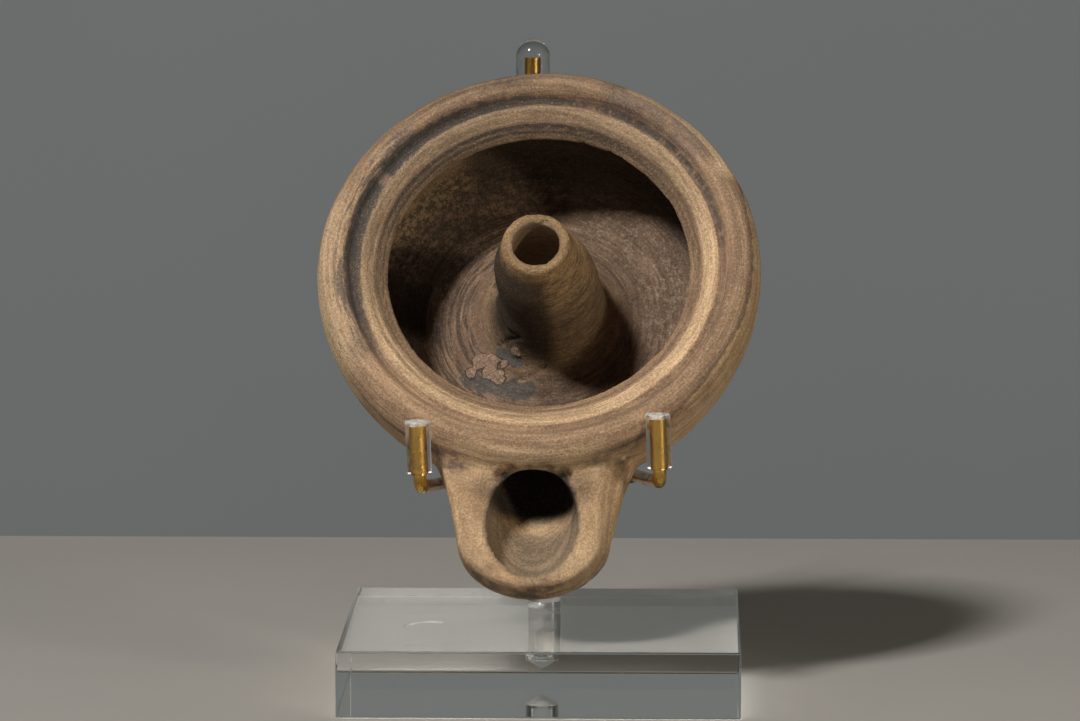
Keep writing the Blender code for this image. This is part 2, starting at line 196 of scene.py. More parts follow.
def mesh_of(shape, name):
    mesh = bpy.data.meshes.new(name)
    shape.to_mesh(mesh)
    shape.free()
    return mesh


def worker_object(mesh):
    """An object that takes modifiers or shows a sheet of paper, and isn't a piece."""
    worker = bpy.data.objects.new(mesh.name, mesh)
    bpy.context.scene.collection.objects.link(worker)
    return worker


def combine(target, other, operation):
    boolean = target.modifiers.new(other.name, "BOOLEAN")
    boolean.object = other
    boolean.operation = operation
    boolean.solver = "EXACT"


def evaluated_mesh(worker, name):
    """The worker object's mesh with its modifiers applied. The worker object is removed."""
    bpy.context.view_layer.update()
    mesh = bpy.data.meshes.new_from_object(worker.evaluated_get(bpy.context.evaluated_depsgraph_get()))
    mesh.name = name
    bpy.data.objects.remove(worker, do_unlink=True)
    return mesh


def smooth_with_edges(mesh, angle=30.0):
    mesh.shade_smooth()
    mesh.set_sharp_from_angle(angle=math.radians(angle))


def turned_solid(outline, place, steps=ROUND_STEPS):
    """A bmesh turned from (radius, height) points, which start and end on the axis or else close."""
    on_axis = 1e-7
    shape = bmesh.new()
    rings = []
    for radius, height in outline:
        if radius < on_axis:
            rings.append([shape.verts.new((place.x, place.y, place.z + height))] * steps)
            continue
        ring = []
        for step in range(steps):
            angle = math.tau * step / steps
            spot = Vector((radius * math.cos(angle), radius * math.sin(angle), height))
            ring.append(shape.verts.new(place + spot))
        rings.append(ring)
    pairs = list(zip(rings, rings[1:]))
    if outline[0][0] > on_axis:
        pairs.append((rings[-1], rings[0]))
    for lower, upper in pairs:
        for step in range(steps):
            following = (step + 1) % steps
            square = [lower[step], lower[following], upper[following], upper[step]]
            corners = list(dict.fromkeys(square))
            if len(corners) > 2:
                shape.faces.new(corners)
    bmesh.ops.recalc_face_normals(shape, faces=shape.faces)
    return shape


def block_mesh():
    shape = bmesh.new()
    bmesh.ops.create_cube(shape, size=1.0)
    bmesh.ops.scale(shape, vec=(BLOCK_SIDE, BLOCK_SIDE, BLOCK_HEIGHT), verts=shape.verts)
    bmesh.ops.translate(shape, vec=(0.0, 0.0, BLOCK_HEIGHT / 2), verts=shape.verts)
    block = worker_object(mesh_of(shape, "sawn_block"))
    bevel = block.modifiers.new("polished_edges", "BEVEL")
    bevel.width = BLOCK_EDGE
    bevel.segments = 6
    radius = ROD_RADIUS + ROD_SLACK
    above = BLOCK_HEIGHT + 2 * MM
    point = DRILLED_TO - radius / math.tan(DRILL_POINT)
    outline = [(0.0, above), (radius, above), (radius, DRILLED_TO), (0.0, point)]
    drill = worker_object(mesh_of(turned_solid(outline, ROD_PLACE), "drill"))
    combine(block, drill, "DIFFERENCE")
    mesh = evaluated_mesh(block, "acrylic_block")
    bpy.data.objects.remove(drill, do_unlink=True)
    smooth_with_edges(mesh)
    for face in mesh.polygons:
        squareness = max(abs(part) for part in face.normal)
        face.use_smooth = squareness < 0.9999
    return mesh


def dull_places(finish, place):
    """Where it is dull: a white scuff and a broken scratch on top, and where the plastic was drilled."""
    x, y, z = (finish.coordinate(place, axis) / MM for axis in "XYZ")
    ragged = finish.noise(place, 1100.0, 2.0) * 0.8 + 0.6
    waver = (finish.noise(place, 420.0, 2.0) - 0.5) * 4.0
    beside = x - SCUFF_CREST[0]
    bent = y - SCUFF_CREST[1] + beside * beside * 0.2 + waver
    scuff = (1.0 - finish.fade(bent * bent * ragged, 0.3, 1.2)) * finish.between(x, *SCUFF)
    gaps = finish.noise(finish.stretched(place, (700.0, 200.0, 200.0)), 1.0, 2.0)
    off = y - SCRATCH_BACK
    scratch = (1.0 - finish.fade(off * off, 0.2, 1.0)) * finish.between(x, *SCRATCH)
    scratch = scratch * finish.fade(gaps, 0.42, 0.6) * 0.25
    on_top = finish.fade(z, 12.5, 12.65)
    right, back = x - ROD_PLACE.x / MM, y - ROD_PLACE.y / MM
    away = right * right + back * back
    drill_point = (1.0 - finish.fade(away, 10.8, 11.5)) * finish.between(z, (1.0, 1.5), (4.4, 4.6))
    stem_hole = (1.0 - finish.fade(away, 2.0, 2.6)) * finish.fade(z, 16.0, 17.0)
    return (scuff * 0.8 + scratch) * on_top + drill_point * 0.3 + stem_hole * 0.85


def clear_plastic(name, tint, roughness, ior, handling, shine=0.5, cut_ends=False):
    """Dust and fine scratches show as a slightly rougher, slightly uneven face."""
    finish = Finish(name, Transmission_Weight=1.0, IOR=ior, Specular_IOR_Level=shine)
    place = finish.place()
    haze = finish.noise(place, 90.0, 4.0, 0.6)
    specks = finish.fade(finish.noise(place, 900.0, 2.0), 0.66, 0.74)
    streaks = finish.noise(finish.stretched(place, (60.0, 420.0, 420.0)), 1.0, 3.0)
    scratches = finish.fade(streaks, 0.63, 0.7)
    wear = (finish.fade(haze, 0.45, 0.75) * 0.6 + specks + scratches * 0.5) * handling
    dusty = tuple(0.86 * part for part in tint)
    finish.surface(
        Base_Color=finish.mix(wear & 1.0, tint, dusty),
        Roughness=wear * 0.22 + roughness,
        Normal=finish.bump(haze + specks * 0.3, 0.05, 0.02 * MM),
    )
    if cut_ends:
        grain = (finish.noise(place, 700.0, 2.0) - 0.5) * 1.6
        finish.pass_lamp_light(finish.fade(finish.attribute("frost") + grain, 0.45, 0.95) * 0.6)
    else:
        finish.pass_lamp_light(dull_places(finish, place))
    return finish


acrylic = clear_plastic("clear_acrylic", (0.985, 0.992, 0.99), 0.015, 1.49, 0.35)
add_piece("display_block", block_mesh(), acrylic, "acrylic_block")


# ---------------------------------------------------------------------------
# Clear rod
# A quarter inch cast acrylic rod, cut off square and standing in the block's
# hole. It is drilled down from its top for the stem of the brass frame.
# ---------------------------------------------------------------------------
ROD_TOP = 31.0 * MM
STEM_DEPTH = 12.0 * MM
WIRE_RADIUS = 1.25 * MM
STEM_SLACK = 0.06 * MM     # between the stem and the side of its hole
ROD_EDGE = 0.25 * MM


def rod_mesh():
    hole = WIRE_RADIUS + STEM_SLACK
    floor = ROD_TOP - STEM_DEPTH - 0.2 * MM
    bottom = DRILLED_TO + 0.3 * MM
    edge = ROD_EDGE
    outline = [(0.0, floor - hole / math.tan(DRILL_POINT)), (hole, floor), (hole, ROD_TOP)]
    outline += [(ROD_RADIUS - edge, ROD_TOP), (ROD_RADIUS, ROD_TOP - edge)]
    outline += [(ROD_RADIUS, bottom + edge), (ROD_RADIUS - edge, bottom), (0.0, bottom)]
    mesh = mesh_of(turned_solid(outline, ROD_PLACE), "acrylic_rod")
    smooth_with_edges(mesh)
    return mesh


add_piece("display_rod", rod_mesh(), acrylic, "acrylic_rod")


# ---------------------------------------------------------------------------
# Brass cradle
# Brass wire a little under 1/10 inch thick, bent by hand: a stem that turns
# back and up behind the lamp, and two front hooks silver soldered to it.
# ---------------------------------------------------------------------------
WIRE_BEND = 2.2 * MM
WIRE_SIDES = 28
HAND_WAVER = 0.03 * MM     # how far the hand-bent wire strays from its line
HUB_Z = 33.6 * MM
BEAD_SIZE = (2.5, 1.75, 1.7)    # half sizes, in millimetres
LEG_LEAN = 0.042

# a hook's leg is the place of its lower bend and the height of its end
LEFT_LEG = (Vector((-22.7, -23.0, 41.8)) * MM, 53.4 * MM)
RIGHT_LEG = (Vector((22.8, -23.6, 43.0)) * MM, 55.0 * MM)

# an arm's place is how far it is across and along, and how far below its leg's bend
ARM_BESIDE = (20.7 * MM, -8.0 * MM, 1.8 * MM)
ARM_BEHIND = (18.0 * MM, 4.0 * MM, 2.7 * MM)
BACK_FOOT = Vector((-3.0, 43.4, 66.0)) * MM
BACK_TOP = 118.8 * MM


def bent_path(corners, radius, steps=12):
    """The middle line of a wire through its corners, with each corner bent to a radius."""
    points = [corners[0]]
    for before, corner, after in zip(corners, corners[1:], corners[2:]):
        back = (before - corner).normalized()
        onward = (after - corner).normalized()
        half = back.angle(onward) / 2
        centre = corner + (back + onward).normalized() * (radius / math.sin(half))
        start = (corner + back * (radius / math.tan(half)) - centre).normalized()
        end = (corner + onward * (radius / math.tan(half)) - centre).normalized()
        for step in range(steps + 1):
            points.append(centre + start.slerp(end, step / steps) * radius)
    points.append(corners[-1])
    return points


def leg_point(leg, height):
    bend = leg[0]
    return Vector((bend.x - LEG_LEAN * (height - bend.z), bend.y, height))


def arm_point(leg, place):
    across, along, drop = place
    return Vector((math.copysign(across, leg[0].x), along, leg[0].z - drop))


def new_tree(name, **inputs):
    """A geometry nodes tree with named inputs: the tree, and its inputs' sockets by name."""
    tree = bpy.data.node_groups.new(name, "GeometryNodeTree")
    for label, kind in inputs.items():
        socket_type = "NodeSocket" + kind
        tree.interface.new_socket(label.replace("_", " "), in_out="INPUT", socket_type=socket_type)
    return tree, tree.nodes.new("NodeGroupInput").outputs


def tree_node(tree, kind, values, output=0, **settings):
    """A node in a tree. A value that is another node's socket is linked, and any other is set."""
    made = tree.nodes.new(kind)
    for label, setting in settings.items():
        setattr(made, label, setting)
    for key, value in values.items():
        if isinstance(value, bpy.types.NodeSocket):
            tree.links.new(value, made.inputs[key])
        else:
            made.inputs[key].default_value = value
    return made.outputs[output]


def close_tree(tree, made, material, name):
    """The end of every tree: what was made is realized and given its material."""
    real = tree_node(tree, "GeometryNodeRealizeInstances", {"Geometry": made})
    coated = tree_node(tree, "GeometryNodeSetMaterial", {"Geometry": real, "Material": material})
    tree.interface.new_socket(name, in_out="OUTPUT", socket_type="NodeSocketGeometry")
    result = tree.nodes.new("NodeGroupOutput")
    tree.links.new(coated, result.inputs[name])
    return tree


def wire_tree():
    """Each edge path becomes a round wire with cut ends."""
    tree, given = new_tree(
        "drawn_wire", Paths="Geometry", Wire_Radius="Float", Sides="Int", Metal="Material",
    )
    curves = tree_node(tree, "GeometryNodeMeshToCurve", {"Mesh": given["Paths"]})
    around = {"Resolution": given["Sides"], "Radius": given["Wire Radius"]}
    section = tree_node(tree, "GeometryNodeCurvePrimitiveCircle", around)
    sweep = {"Curve": curves, "Profile Curve": section, "Fill Caps": True}
    drawn = tree_node(tree, "GeometryNodeCurveToMesh", sweep)
    smooth = tree_node(tree, "GeometryNodeSetShadeSmooth", {"Geometry": drawn})
    return close_tree(tree, smooth, given["Metal"], "Wires")


def set_inputs(modifier, **values):
    """Give a geometry nodes modifier its inputs, by the identifier behind each name."""
    for item in modifier.node_group.interface.items_tree:
        name = item.name.replace(" ", "_")
        if item.item_type == "SOCKET" and item.in_out == "INPUT" and name in values:
            modifier[item.identifier] = values[name]


def paths_mesh(paths, name, closed=False):
    shape = bmesh.new()
    for path in paths:
        verts = [shape.verts.new(point) for point in path]
        for first, second in zip(verts, verts[1:]):
            shape.edges.new((first, second))
        if closed:
            shape.edges.new((verts[-1], verts[0]))
    return mesh_of(shape, name)


def hand_bent(path, amount):
    """The same path with points along its straights, each a hair out of line, as hand-bent wire is."""
    fine = []
    for first, second in zip(path, path[1:]):
        count = max(1, int((second - first).length / (1.5 * MM)))
        fine += [first.lerp(second, step / count) for step in range(count)]
    fine.append(path[-1])
    out = []
    for point in fine:
        across = math.sin(point.z * 310 + point.y * 150)
        along = math.sin(point.x * 270 + point.z * 190)
        out.append(point + Vector((across, along, 0.0)) * amount)
    return out


def solder_bead(centre):
    shape = bmesh.new()
    bmesh.ops.create_icosphere(shape, subdivisions=4, radius=1.0)
    for vert in shape.verts:
        lump = 1.0 + 0.1 * math.sin(5 * vert.co.x + 3 * vert.co.z) * math.cos(4 * vert.co.y)
        oval = Vector([part * size for part, size in zip(vert.co, BEAD_SIZE)])
        vert.co = oval * lump * MM + centre
    return shape


def cradle_mesh(brass):
    hub = Vector((ROD_PLACE.x, ROD_PLACE.y, HUB_Z))
    upright = [
        Vector((ROD_PLACE.x, ROD_PLACE.y, ROD_TOP - STEM_DEPTH)),
        hub + Vector((0.0, 0.0, 3.0 * MM)),
        BACK_FOOT,
        Vector((BACK_FOOT.x, BACK_FOOT.y, BACK_TOP)),
    ]
    paths = [bent_path(upright, 2 * WIRE_BEND)]
    for leg in (LEFT_LEG, RIGHT_LEG):
        start = hub + Vector((math.copysign(0.35 * WIRE_RADIUS, leg[0].x), 0.0, 0.0))
        corners = [start, arm_point(leg, ARM_BEHIND), arm_point(leg, ARM_BESIDE), leg[0]]
        paths.append(bent_path(corners + [leg_point(leg, leg[1])], WIRE_BEND))
    paths = [hand_bent(path, HAND_WAVER) for path in paths]
    wires = worker_object(paths_mesh(paths, "wires"))
    drawn = wires.modifiers.new("drawn_wire", "NODES")
    drawn.node_group = wire_tree()
    set_inputs(drawn, Wire_Radius=WIRE_RADIUS, Sides=WIRE_SIDES, Metal=brass.material)
    mesh = evaluated_mesh(wires, "brass_cradle")
    bead = mesh_of(solder_bead(hub), "bead")
    shape = bmesh.new()
    shape.from_mesh(mesh)
    shape.from_mesh(bead)
    bmesh.ops.recalc_face_normals(shape, faces=shape.faces)
    shape.to_mesh(mesh)
    shape.free()
    bpy.data.meshes.remove(bead)
    smooth_with_edges(mesh, 40.0)
    return mesh


def brass_finish():
    finish = Finish("polished_brass", Metallic=1.0)
    place = finish.place()
    tarnish = finish.fade(finish.noise(place, 240.0, 4.0, 0.65), 0.5, 0.72)
    rub = finish.noise(finish.stretched(place, (700.0, 700.0, 60.0)), 1.0, 3.0)
    nicks = finish.fade(finish.noise(place, 1500.0, 2.0), 0.64, 0.7)
    bright = finish.mix(rub, (0.80, 0.50, 0.13), (0.62, 0.36, 0.08))
    # painted shade: below about 41 to 46 mm (the stem, the arms and the hooks' lower bends) the brass is
    # painted a darker amber for the shade and dark reflections under the lamp
    low = 1.0 - finish.fade(finish.coordinate(place, "Z"), 41.0 * MM, 46.0 * MM)
    colour = finish.mix(tarnish * 0.75, bright, (0.34, 0.2, 0.075))
    colour = finish.mix(low * 0.7, colour, (0.3, 0.165, 0.03))
    finish.surface(
        Base_Color=finish.mix(nicks * 0.35, colour, (0.2, 0.12, 0.05)),
        Roughness=tarnish * 0.2 + rub * 0.14 + 0.16,
        Normal=finish.bump(rub + nicks * 0.6, 0.16, 0.03 * MM),
    )
    return finish


brass = brass_finish()
add_piece("brass_cradle_wire", cradle_mesh(brass), brass, "brass_cradle")


# ---------------------------------------------------------------------------
# Clear sleeves
# Clear vinyl tube cut to length and pushed over both hooks, and a dipped cap on
# the upright, so that no bare metal touches the clay. The cut ends are whitish.
# ---------------------------------------------------------------------------
SLEEVE_RADIUS = 2.38 * MM
SLEEVE_OVERHANG = 1.1 * MM
SLEEVE_EDGE = 0.12 * MM
GRIP = 0.1 * MM            # the bore is narrower than the wire, which stretches it
FROSTED = 1.3 * MM         # length of the whitish cut end
CAP_RADIUS = 3.35 * MM
CAP_LENGTH = 32.0 * MM
CAP_EDGE = 0.2 * MM
DOME_STEPS = 12


def sleeve_mesh(leg, name):
    """A thin-walled tube that leans with its leg. Its cut end is not quite square."""
    inner = WIRE_RADIUS - GRIP
    low = leg[0].z + WIRE_BEND + 0.3 * MM
    length = (leg[1] - low) * math.hypot(1.0, LEG_LEAN) + SLEEVE_OVERHANG
    edge = SLEEVE_EDGE
    outline = [(inner, 0.0), (inner, length - edge), (inner + edge, length)]
    outline += [(SLEEVE_RADIUS - edge, length), (SLEEVE_RADIUS, length - edge)]
    outline += [(SLEEVE_RADIUS, length - FROSTED), (SLEEVE_RADIUS, edge), (SLEEVE_RADIUS - edge, 0.0)]
    shape = turned_solid(outline, Vector())
    for vert in shape.verts:
        if vert.co.z > 0.5 * length:
            vert.co.z -= 0.05 * (vert.co.x + SLEEVE_RADIUS)
    frost = [max(0.0, 1.0 - (length - vert.co.z) / FROSTED) for vert in shape.verts]
    lean = Matrix.Rotation(-math.atan(LEG_LEAN), 4, "Y")
    pose = Matrix.Translation(leg_point(leg, low)) @ lean
    bmesh.ops.transform(shape, matrix=pose, verts=shape.verts)
    mesh = mesh_of(shape, name)
    mesh.attributes.new("frost", "FLOAT", "POINT").data.foreach_set("value", frost)
    smooth_with_edges(mesh)
    return mesh


def cap_mesh():
    inner = WIRE_RADIUS - GRIP
    dome = BACK_TOP + 0.35 * MM
    bottom = dome - CAP_LENGTH
    outline = [(0.0, dome + CAP_RADIUS)]
    for step in range(1, DOME_STEPS + 1):
        angle = math.radians(90 - 90 * step / DOME_STEPS)
        outline.append((CAP_RADIUS * math.cos(angle), dome + CAP_RADIUS * math.sin(angle)))
    outline += [(CAP_RADIUS, bottom + CAP_EDGE), (CAP_RADIUS - CAP_EDGE, bottom), (inner, bottom)]
    outline += [(inner, BACK_TOP - 0.1 * MM), (0.0, BACK_TOP - 0.1 * MM)]
    mesh = mesh_of(turned_solid(outline, Vector((BACK_FOOT.x, BACK_FOOT.y, 0.0))), "sleeve_top")
    smooth_with_edges(mesh)
    return mesh


vinyl = clear_plastic("clear_vinyl", (0.96, 0.955, 0.93), 0.1, 1.32, 0.6, shine=0.2, cut_ends=True)
left_sleeve = sleeve_mesh(LEFT_LEG, "sleeve_left")
right_sleeve = sleeve_mesh(RIGHT_LEG, "sleeve_right")
add_piece("vinyl_sleeve_left", left_sleeve, vinyl, "sleeve_left")
add_piece("vinyl_sleeve_right", right_sleeve, vinyl, "sleeve_right")
add_piece("vinyl_cap", cap_mesh(), vinyl, "sleeve_top")


# ---------------------------------------------------------------------------
# Lamp
# One piece of fired clay. The bowl, its inturned rim and the hollow socket cone
# are thrown in one, the nozzle is modelled by hand and luted on, and the wick
# hole is cut through into the bowl. It rests tipped forward in the cradle.
# ---------------------------------------------------------------------------
LEAN = math.radians(56.4)
YAW = math.radians(-2.1)
ROLL = math.radians(0.6)
LIP_CENTRE = Vector((-0.84, 2.0, 80.5)) * MM
CLAY_GRAIN = 0.665 * MM    # size of the lamp's mesh faces
TURN_STEPS = 288

# heights are above the lamp's foot and radii from its axis
LIP_HEIGHT = 28.5 * MM
LIP_RADIUS = 29.1 * MM
BELLY_HEIGHT = LIP_HEIGHT - 0.7 * MM
BELLY_RADIUS = 42.9 * MM
SHOULDER = (4.3 * MM, 5.9 * MM)       # across and up its quarter ellipse
UNDERSIDE = (20.0 * MM, 26.3 * MM)    # across and down its quarter ellipse
CROWN_HEIGHT = BELLY_HEIGHT + SHOULDER[1]
FOOT_RADIUS = 21.5 * MM
FOOT_HEIGHT = BELLY_HEIGHT - UNDERSIDE[1]
RIDGE_RADIUS = 34.65 * MM
RIDGE_HEIGHT = LIP_HEIGHT + 3.1 * MM
GROOVE_RADIUS = 35.9 * MM
BAND_RADIUS = 31.6 * MM
WALL = 3.9 * MM
FLOOR_HEIGHT = 6.4 * MM
ROOF_TURN = (4.2 * MM, 3.4 * MM)
EDGE = 0.45 * MM
SOCKET_TOP = LIP_HEIGHT + 11.4 * MM
SOCKET_RADIUS = 6.5 * MM
SOCKET_STATIONS = (    # depth below the socket's top and radius, in millimetres
    (3.4, 7.0), (6.0, 8.1), (9.2, 9.5), (14.5, 10.6),
    (21.0, 11.0), (27.5, 11.8), (30.5, 14.0), (32.4, 17.0),
)
SOCKET_FOOT_RADIUS = 20.5 * MM
BORE_TOP_RADIUS = 4.5 * MM
BORE_FOOT_RADIUS = 10.0 * MM
NOZZLE_TOP = LIP_HEIGHT - 1.6 * MM
NOZZLE_WIDEST = LIP_HEIGHT - 6.0 * MM
NOZZLE_BOTTOM = 3.8 * MM
NOZZLE_REACH = 66.5 * MM
NOZZLE_ROOT = 30.0 * MM
NOZZLE_STRAIGHT = 54.5 * MM
TIP_HALF_WIDTH = 14.6 * MM
SIDE_SLOPE = 0.215
FLARE_START = 45.0 * MM
ROOT_FLARE = 6.7 * MM
KEEL_RISE = 25.0 * MM
KEEL_POWER = 1.8
KEEL_NARROWING = 0.32
TOP_EDGE = 1.2 * MM
PARED = 3.6 * MM
PARED_LENGTH = 22.0 * MM
RAMP_START = 50.0 * MM
RAMP_RISE = 0.025 / MM
WICK_HOLE = (8.95 * MM, 11.8 * MM, 7.6 * MM)    # half sizes across, along and down
WICK_HOLE_PLACE = Vector((-0.2, -52.6, 24.5)) * MM
PASSAGE = (7.4 * MM, 5.6 * MM)
PASSAGE_PLACE = Vector((0.0, -42.0, 20.1)) * MM
PASSAGE_FALL = math.radians(12)


def lamp_pose():
    turned = Matrix.Rotation(YAW, 4, "Z") @ Matrix.Rotation(LEAN, 4, "X") @ Matrix.Rotation(ROLL, 4, "Z")
    turned.translation = LIP_CENTRE - turned @ Vector((0.0, 0.0, LIP_HEIGHT))
    return turned


def ellipse_arc(centre, radii, start, end, steps):
    points = []
    for step in range(steps + 1):
        angle = math.radians(start + (end - start) * step / steps)
        points.append((centre[0] + radii[0] * math.cos(angle), centre[1] + radii[1] * math.sin(angle)))
    return points


def rounded(points, rounds=2):
    """An outline with its corners cut off, then cut again, as wet clay softens them."""
    for _ in range(rounds):
        cut = [points[0]]
        for (r0, z0), (r1, z1) in zip(points, points[1:]):
            cut.append((0.75 * r0 + 0.25 * r1, 0.75 * z0 + 0.25 * z1))
            cut.append((0.25 * r0 + 0.75 * r1, 0.25 * z0 + 0.75 * z1))
        points = cut + [points[-1]]
    return points


def turned_profile():
    """The whole closed profile: socket, floor, wall, roof, rim, shoulder, underside, foot and bore."""
    socket = [(BORE_TOP_RADIUS + EDGE, SOCKET_TOP), (SOCKET_RADIUS - EDGE, SOCKET_TOP)]
    socket += [(SOCKET_RADIUS, SOCKET_TOP - EDGE)]
    socket += [(radius * MM, SOCKET_TOP - depth * MM) for depth, radius in SOCKET_STATIONS]
    socket += [(SOCKET_FOOT_RADIUS, FLOOR_HEIGHT)]
    centre = (BELLY_RADIUS - UNDERSIDE[0], BELLY_HEIGHT)
    wall = ellipse_arc(centre, (UNDERSIDE[0] - WALL, BELLY_HEIGHT - FLOOR_HEIGHT), -78, -8, 24)
    roof_centre = (wall[-1][0] - ROOF_TURN[0], wall[-1][1] + 0.6 * MM)
    roof = ellipse_arc(roof_centre, ROOF_TURN, 12, 84, 8)
    rim = [
        (LIP_RADIUS + 0.9 * MM, LIP_HEIGHT - 1.5 * MM),
        (LIP_RADIUS + 0.1 * MM, LIP_HEIGHT - 0.8 * MM),
        (LIP_RADIUS, LIP_HEIGHT),
        (LIP_RADIUS + 0.5 * MM, LIP_HEIGHT + 0.6 * MM),
        (BAND_RADIUS - 0.2 * MM, LIP_HEIGHT + 1.7 * MM),
        (BAND_RADIUS + 0.1 * MM, LIP_HEIGHT + 1.55 * MM),
        (BAND_RADIUS + 0.5 * MM, LIP_HEIGHT + 2.15 * MM),
        (RIDGE_RADIUS - 0.7 * MM, RIDGE_HEIGHT),
        (RIDGE_RADIUS + 0.1 * MM, RIDGE_HEIGHT - 0.05 * MM),
        (GROOVE_RADIUS - 0.5 * MM, RIDGE_HEIGHT - 0.65 * MM),
        (GROOVE_RADIUS, RIDGE_HEIGHT - 0.6 * MM),
        (GROOVE_RADIUS + 0.8 * MM, RIDGE_HEIGHT + 0.9 * MM),
    ]
    shoulder = ellipse_arc((BELLY_RADIUS - SHOULDER[0], BELLY_HEIGHT), SHOULDER, 105, 8, 16)
    underside = ellipse_arc(centre, UNDERSIDE, 0, -88, 36)
    foot = [(FOOT_RADIUS, FOOT_HEIGHT - 0.3 * MM), (FOOT_RADIUS - 0.5 * MM, 0.0)]
    bore = [(BORE_FOOT_RADIUS, 0.0), (BORE_TOP_RADIUS, SOCKET_TOP - EDGE)]
    return rounded(socket) + wall + rounded(roof + rim) + shoulder + underside + foot + bore


def turned_tree():
    """A closed profile turned round the lamp's axis, a little out of true."""
    tree, given = new_tree(
        "thrown_clay", Profile="Geometry", Guide_Radius="Float", Steps="Int", Out_Of_True="Float",
        Seed="Float", Clay="Material",
    )
    profile = tree_node(tree, "GeometryNodeMeshToCurve", {"Mesh": given["Profile"]})
    around = {"Resolution": given["Steps"], "Radius": given["Guide Radius"]}
    circle = tree_node(tree, "GeometryNodeCurvePrimitiveCircle", around)
    swept = tree_node(tree, "GeometryNodeCurveToMesh", {"Curve": circle, "Profile Curve": profile})
    waves = {"W": given["Seed"], "Scale": 28.0, "Detail": 1.0}
    wave = tree_node(tree, "ShaderNodeTexNoise", waves, "Color", noise_dimensions="4D")
    centred = tree_node(tree, "ShaderNodeVectorMath", {0: wave, 1: (0.5, 0.5, 0.5)}, operation="SUBTRACT")
    swing = {0: centred, "Scale": given["Out Of True"]}
    scaled = tree_node(tree, "ShaderNodeVectorMath", swing, operation="SCALE")
    moved = tree_node(tree, "GeometryNodeSetPosition", {"Geometry": swept, "Offset": scaled})
    return close_tree(tree, moved, given["Clay"], "Thrown")


def nozzle_half_width(out, below):
    flare = max(0.0, (FLARE_START - out) / (FLARE_START - NOZZLE_ROOT)) ** 2
    width = TIP_HALF_WIDTH + SIDE_SLOPE * (NOZZLE_STRAIGHT - out)
    return width + ROOT_FLARE * flare * (1.0 - below)


def nozzle_lift(x, y):
    return RAMP_RISE * max(0.0, RAMP_START - math.hypot(x, y)) ** 2


def nozzle_outline(height, inset):
    """One level of the nozzle: down the left side, round the tip and up the right side."""
    below = max(0.0, (NOZZLE_WIDEST - height) / (NOZZLE_WIDEST - NOZZLE_BOTTOM))
    above = max(0.0, (height - NOZZLE_WIDEST) / (NOZZLE_TOP - NOZZLE_WIDEST))
    narrowing = 1.0 - KEEL_NARROWING * below ** 2
    reach = NOZZLE_REACH - inset - KEEL_RISE * below ** KEEL_POWER
    tip = (TIP_HALF_WIDTH - inset) * narrowing
    straight = min(NOZZLE_STRAIGHT, reach - 0.8 * tip)
    halves = []
    for step in range(16):
        out = NOZZLE_ROOT + (straight - NOZZLE_ROOT) * step / 16
        halves.append(((nozzle_half_width(out, below) - inset) * narrowing, out))
    outline = [(-half, out) for half, out in halves]
    for step in range(41):
        angle = math.pi * step / 40
        outline.append((-tip * math.cos(angle), straight + (reach - straight) * math.sin(angle)))
    outline += [(half, out) for half, out in reversed(halves)]
    points = []
    for x, out in outline:
        if x > 0.0:
            x -= PARED * above * min(1.0, (NOZZLE_REACH - out) / PARED_LENGTH) * min(1.0, x / tip)
        points.append(Vector((x, -out, height + above * nozzle_lift(x, out))))
    return points


def nozzle_mesh():
    """The solid nozzle, lofted through its level outlines from the top down."""
    levels = []
    for angle in range(0, 91, 15):
        inset = TOP_EDGE * (1.0 - math.sin(math.radians(angle)))
        levels.append((NOZZLE_TOP - TOP_EDGE * (1.0 - math.cos(math.radians(angle))), inset))
    for step in range(1, 5):
        levels.append((NOZZLE_TOP - TOP_EDGE + (NOZZLE_WIDEST - NOZZLE_TOP + TOP_EDGE) * step / 5, 0.0))
    for step in range(21):
        levels.append((NOZZLE_WIDEST + (NOZZLE_BOTTOM - NOZZLE_WIDEST) * step / 20, 0.0))
    shape = bmesh.new()
    rings = [[shape.verts.new(point) for point in nozzle_outline(*level)] for level in levels]
    count = len(rings[0])
    for upper, lower in zip(rings, rings[1:]):
        for index in range(count):
            following = (index + 1) % count
            shape.faces.new((upper[index], upper[following], lower[following], lower[index]))
    shape.faces.new(rings[-1])
    close_top(shape, rings[0])
    bmesh.ops.recalc_face_normals(shape, faces=shape.faces)
    return mesh_of(shape, "nozzle")


def close_top(shape, ring):
    """Rows across the nozzle's top, so that its sweep up to the shoulder is kept in the middle."""
    columns = 12
    pairs = len(ring) // 2
    rows = []
    for index in range(pairs):
        left = ring[index]
        right = ring[-1 - index]
        row = [left]
        for column in range(1, columns):
            place = left.co.lerp(right.co, column / columns)
            place.z = NOZZLE_TOP + nozzle_lift(place.x, place.y)
            row.append(shape.verts.new(place))
        rows.append(row + [right])
    for outer, inner in zip(rows, rows[1:]):
        for column in range(columns):
            shape.faces.new((outer[column], outer[column + 1], inner[column + 1], inner[column]))
    tip = ring[pairs]
    for first, second in zip(rows[-1], rows[-1][1:]):
        shape.faces.new((first, second, tip))
    shape.faces.new(rows[0])


def wick_hole_mesh():
    shape = bmesh.new()
    bmesh.ops.create_uvsphere(shape, u_segments=64, v_segments=40, radius=1.0)
    bmesh.ops.scale(shape, vec=WICK_HOLE, verts=shape.verts)
    bmesh.ops.translate(shape, vec=WICK_HOLE_PLACE, verts=shape.verts)
    return mesh_of(shape, "wick_hole")


def passage_mesh():
    shape = bmesh.new()
    bmesh.ops.create_cone(shape, cap_ends=True, segments=48, radius1=1.0, radius2=1.0, depth=26 * MM)
    bmesh.ops.scale(shape, vec=(PASSAGE[0], PASSAGE[1], 1.0), verts=shape.verts)
    down = Matrix.Rotation(math.radians(90) - PASSAGE_FALL, 4, "X")
    bmesh.ops.transform(shape, matrix=Matrix.Translation(PASSAGE_PLACE) @ down, verts=shape.verts)
    return mesh_of(shape, "wick_passage")


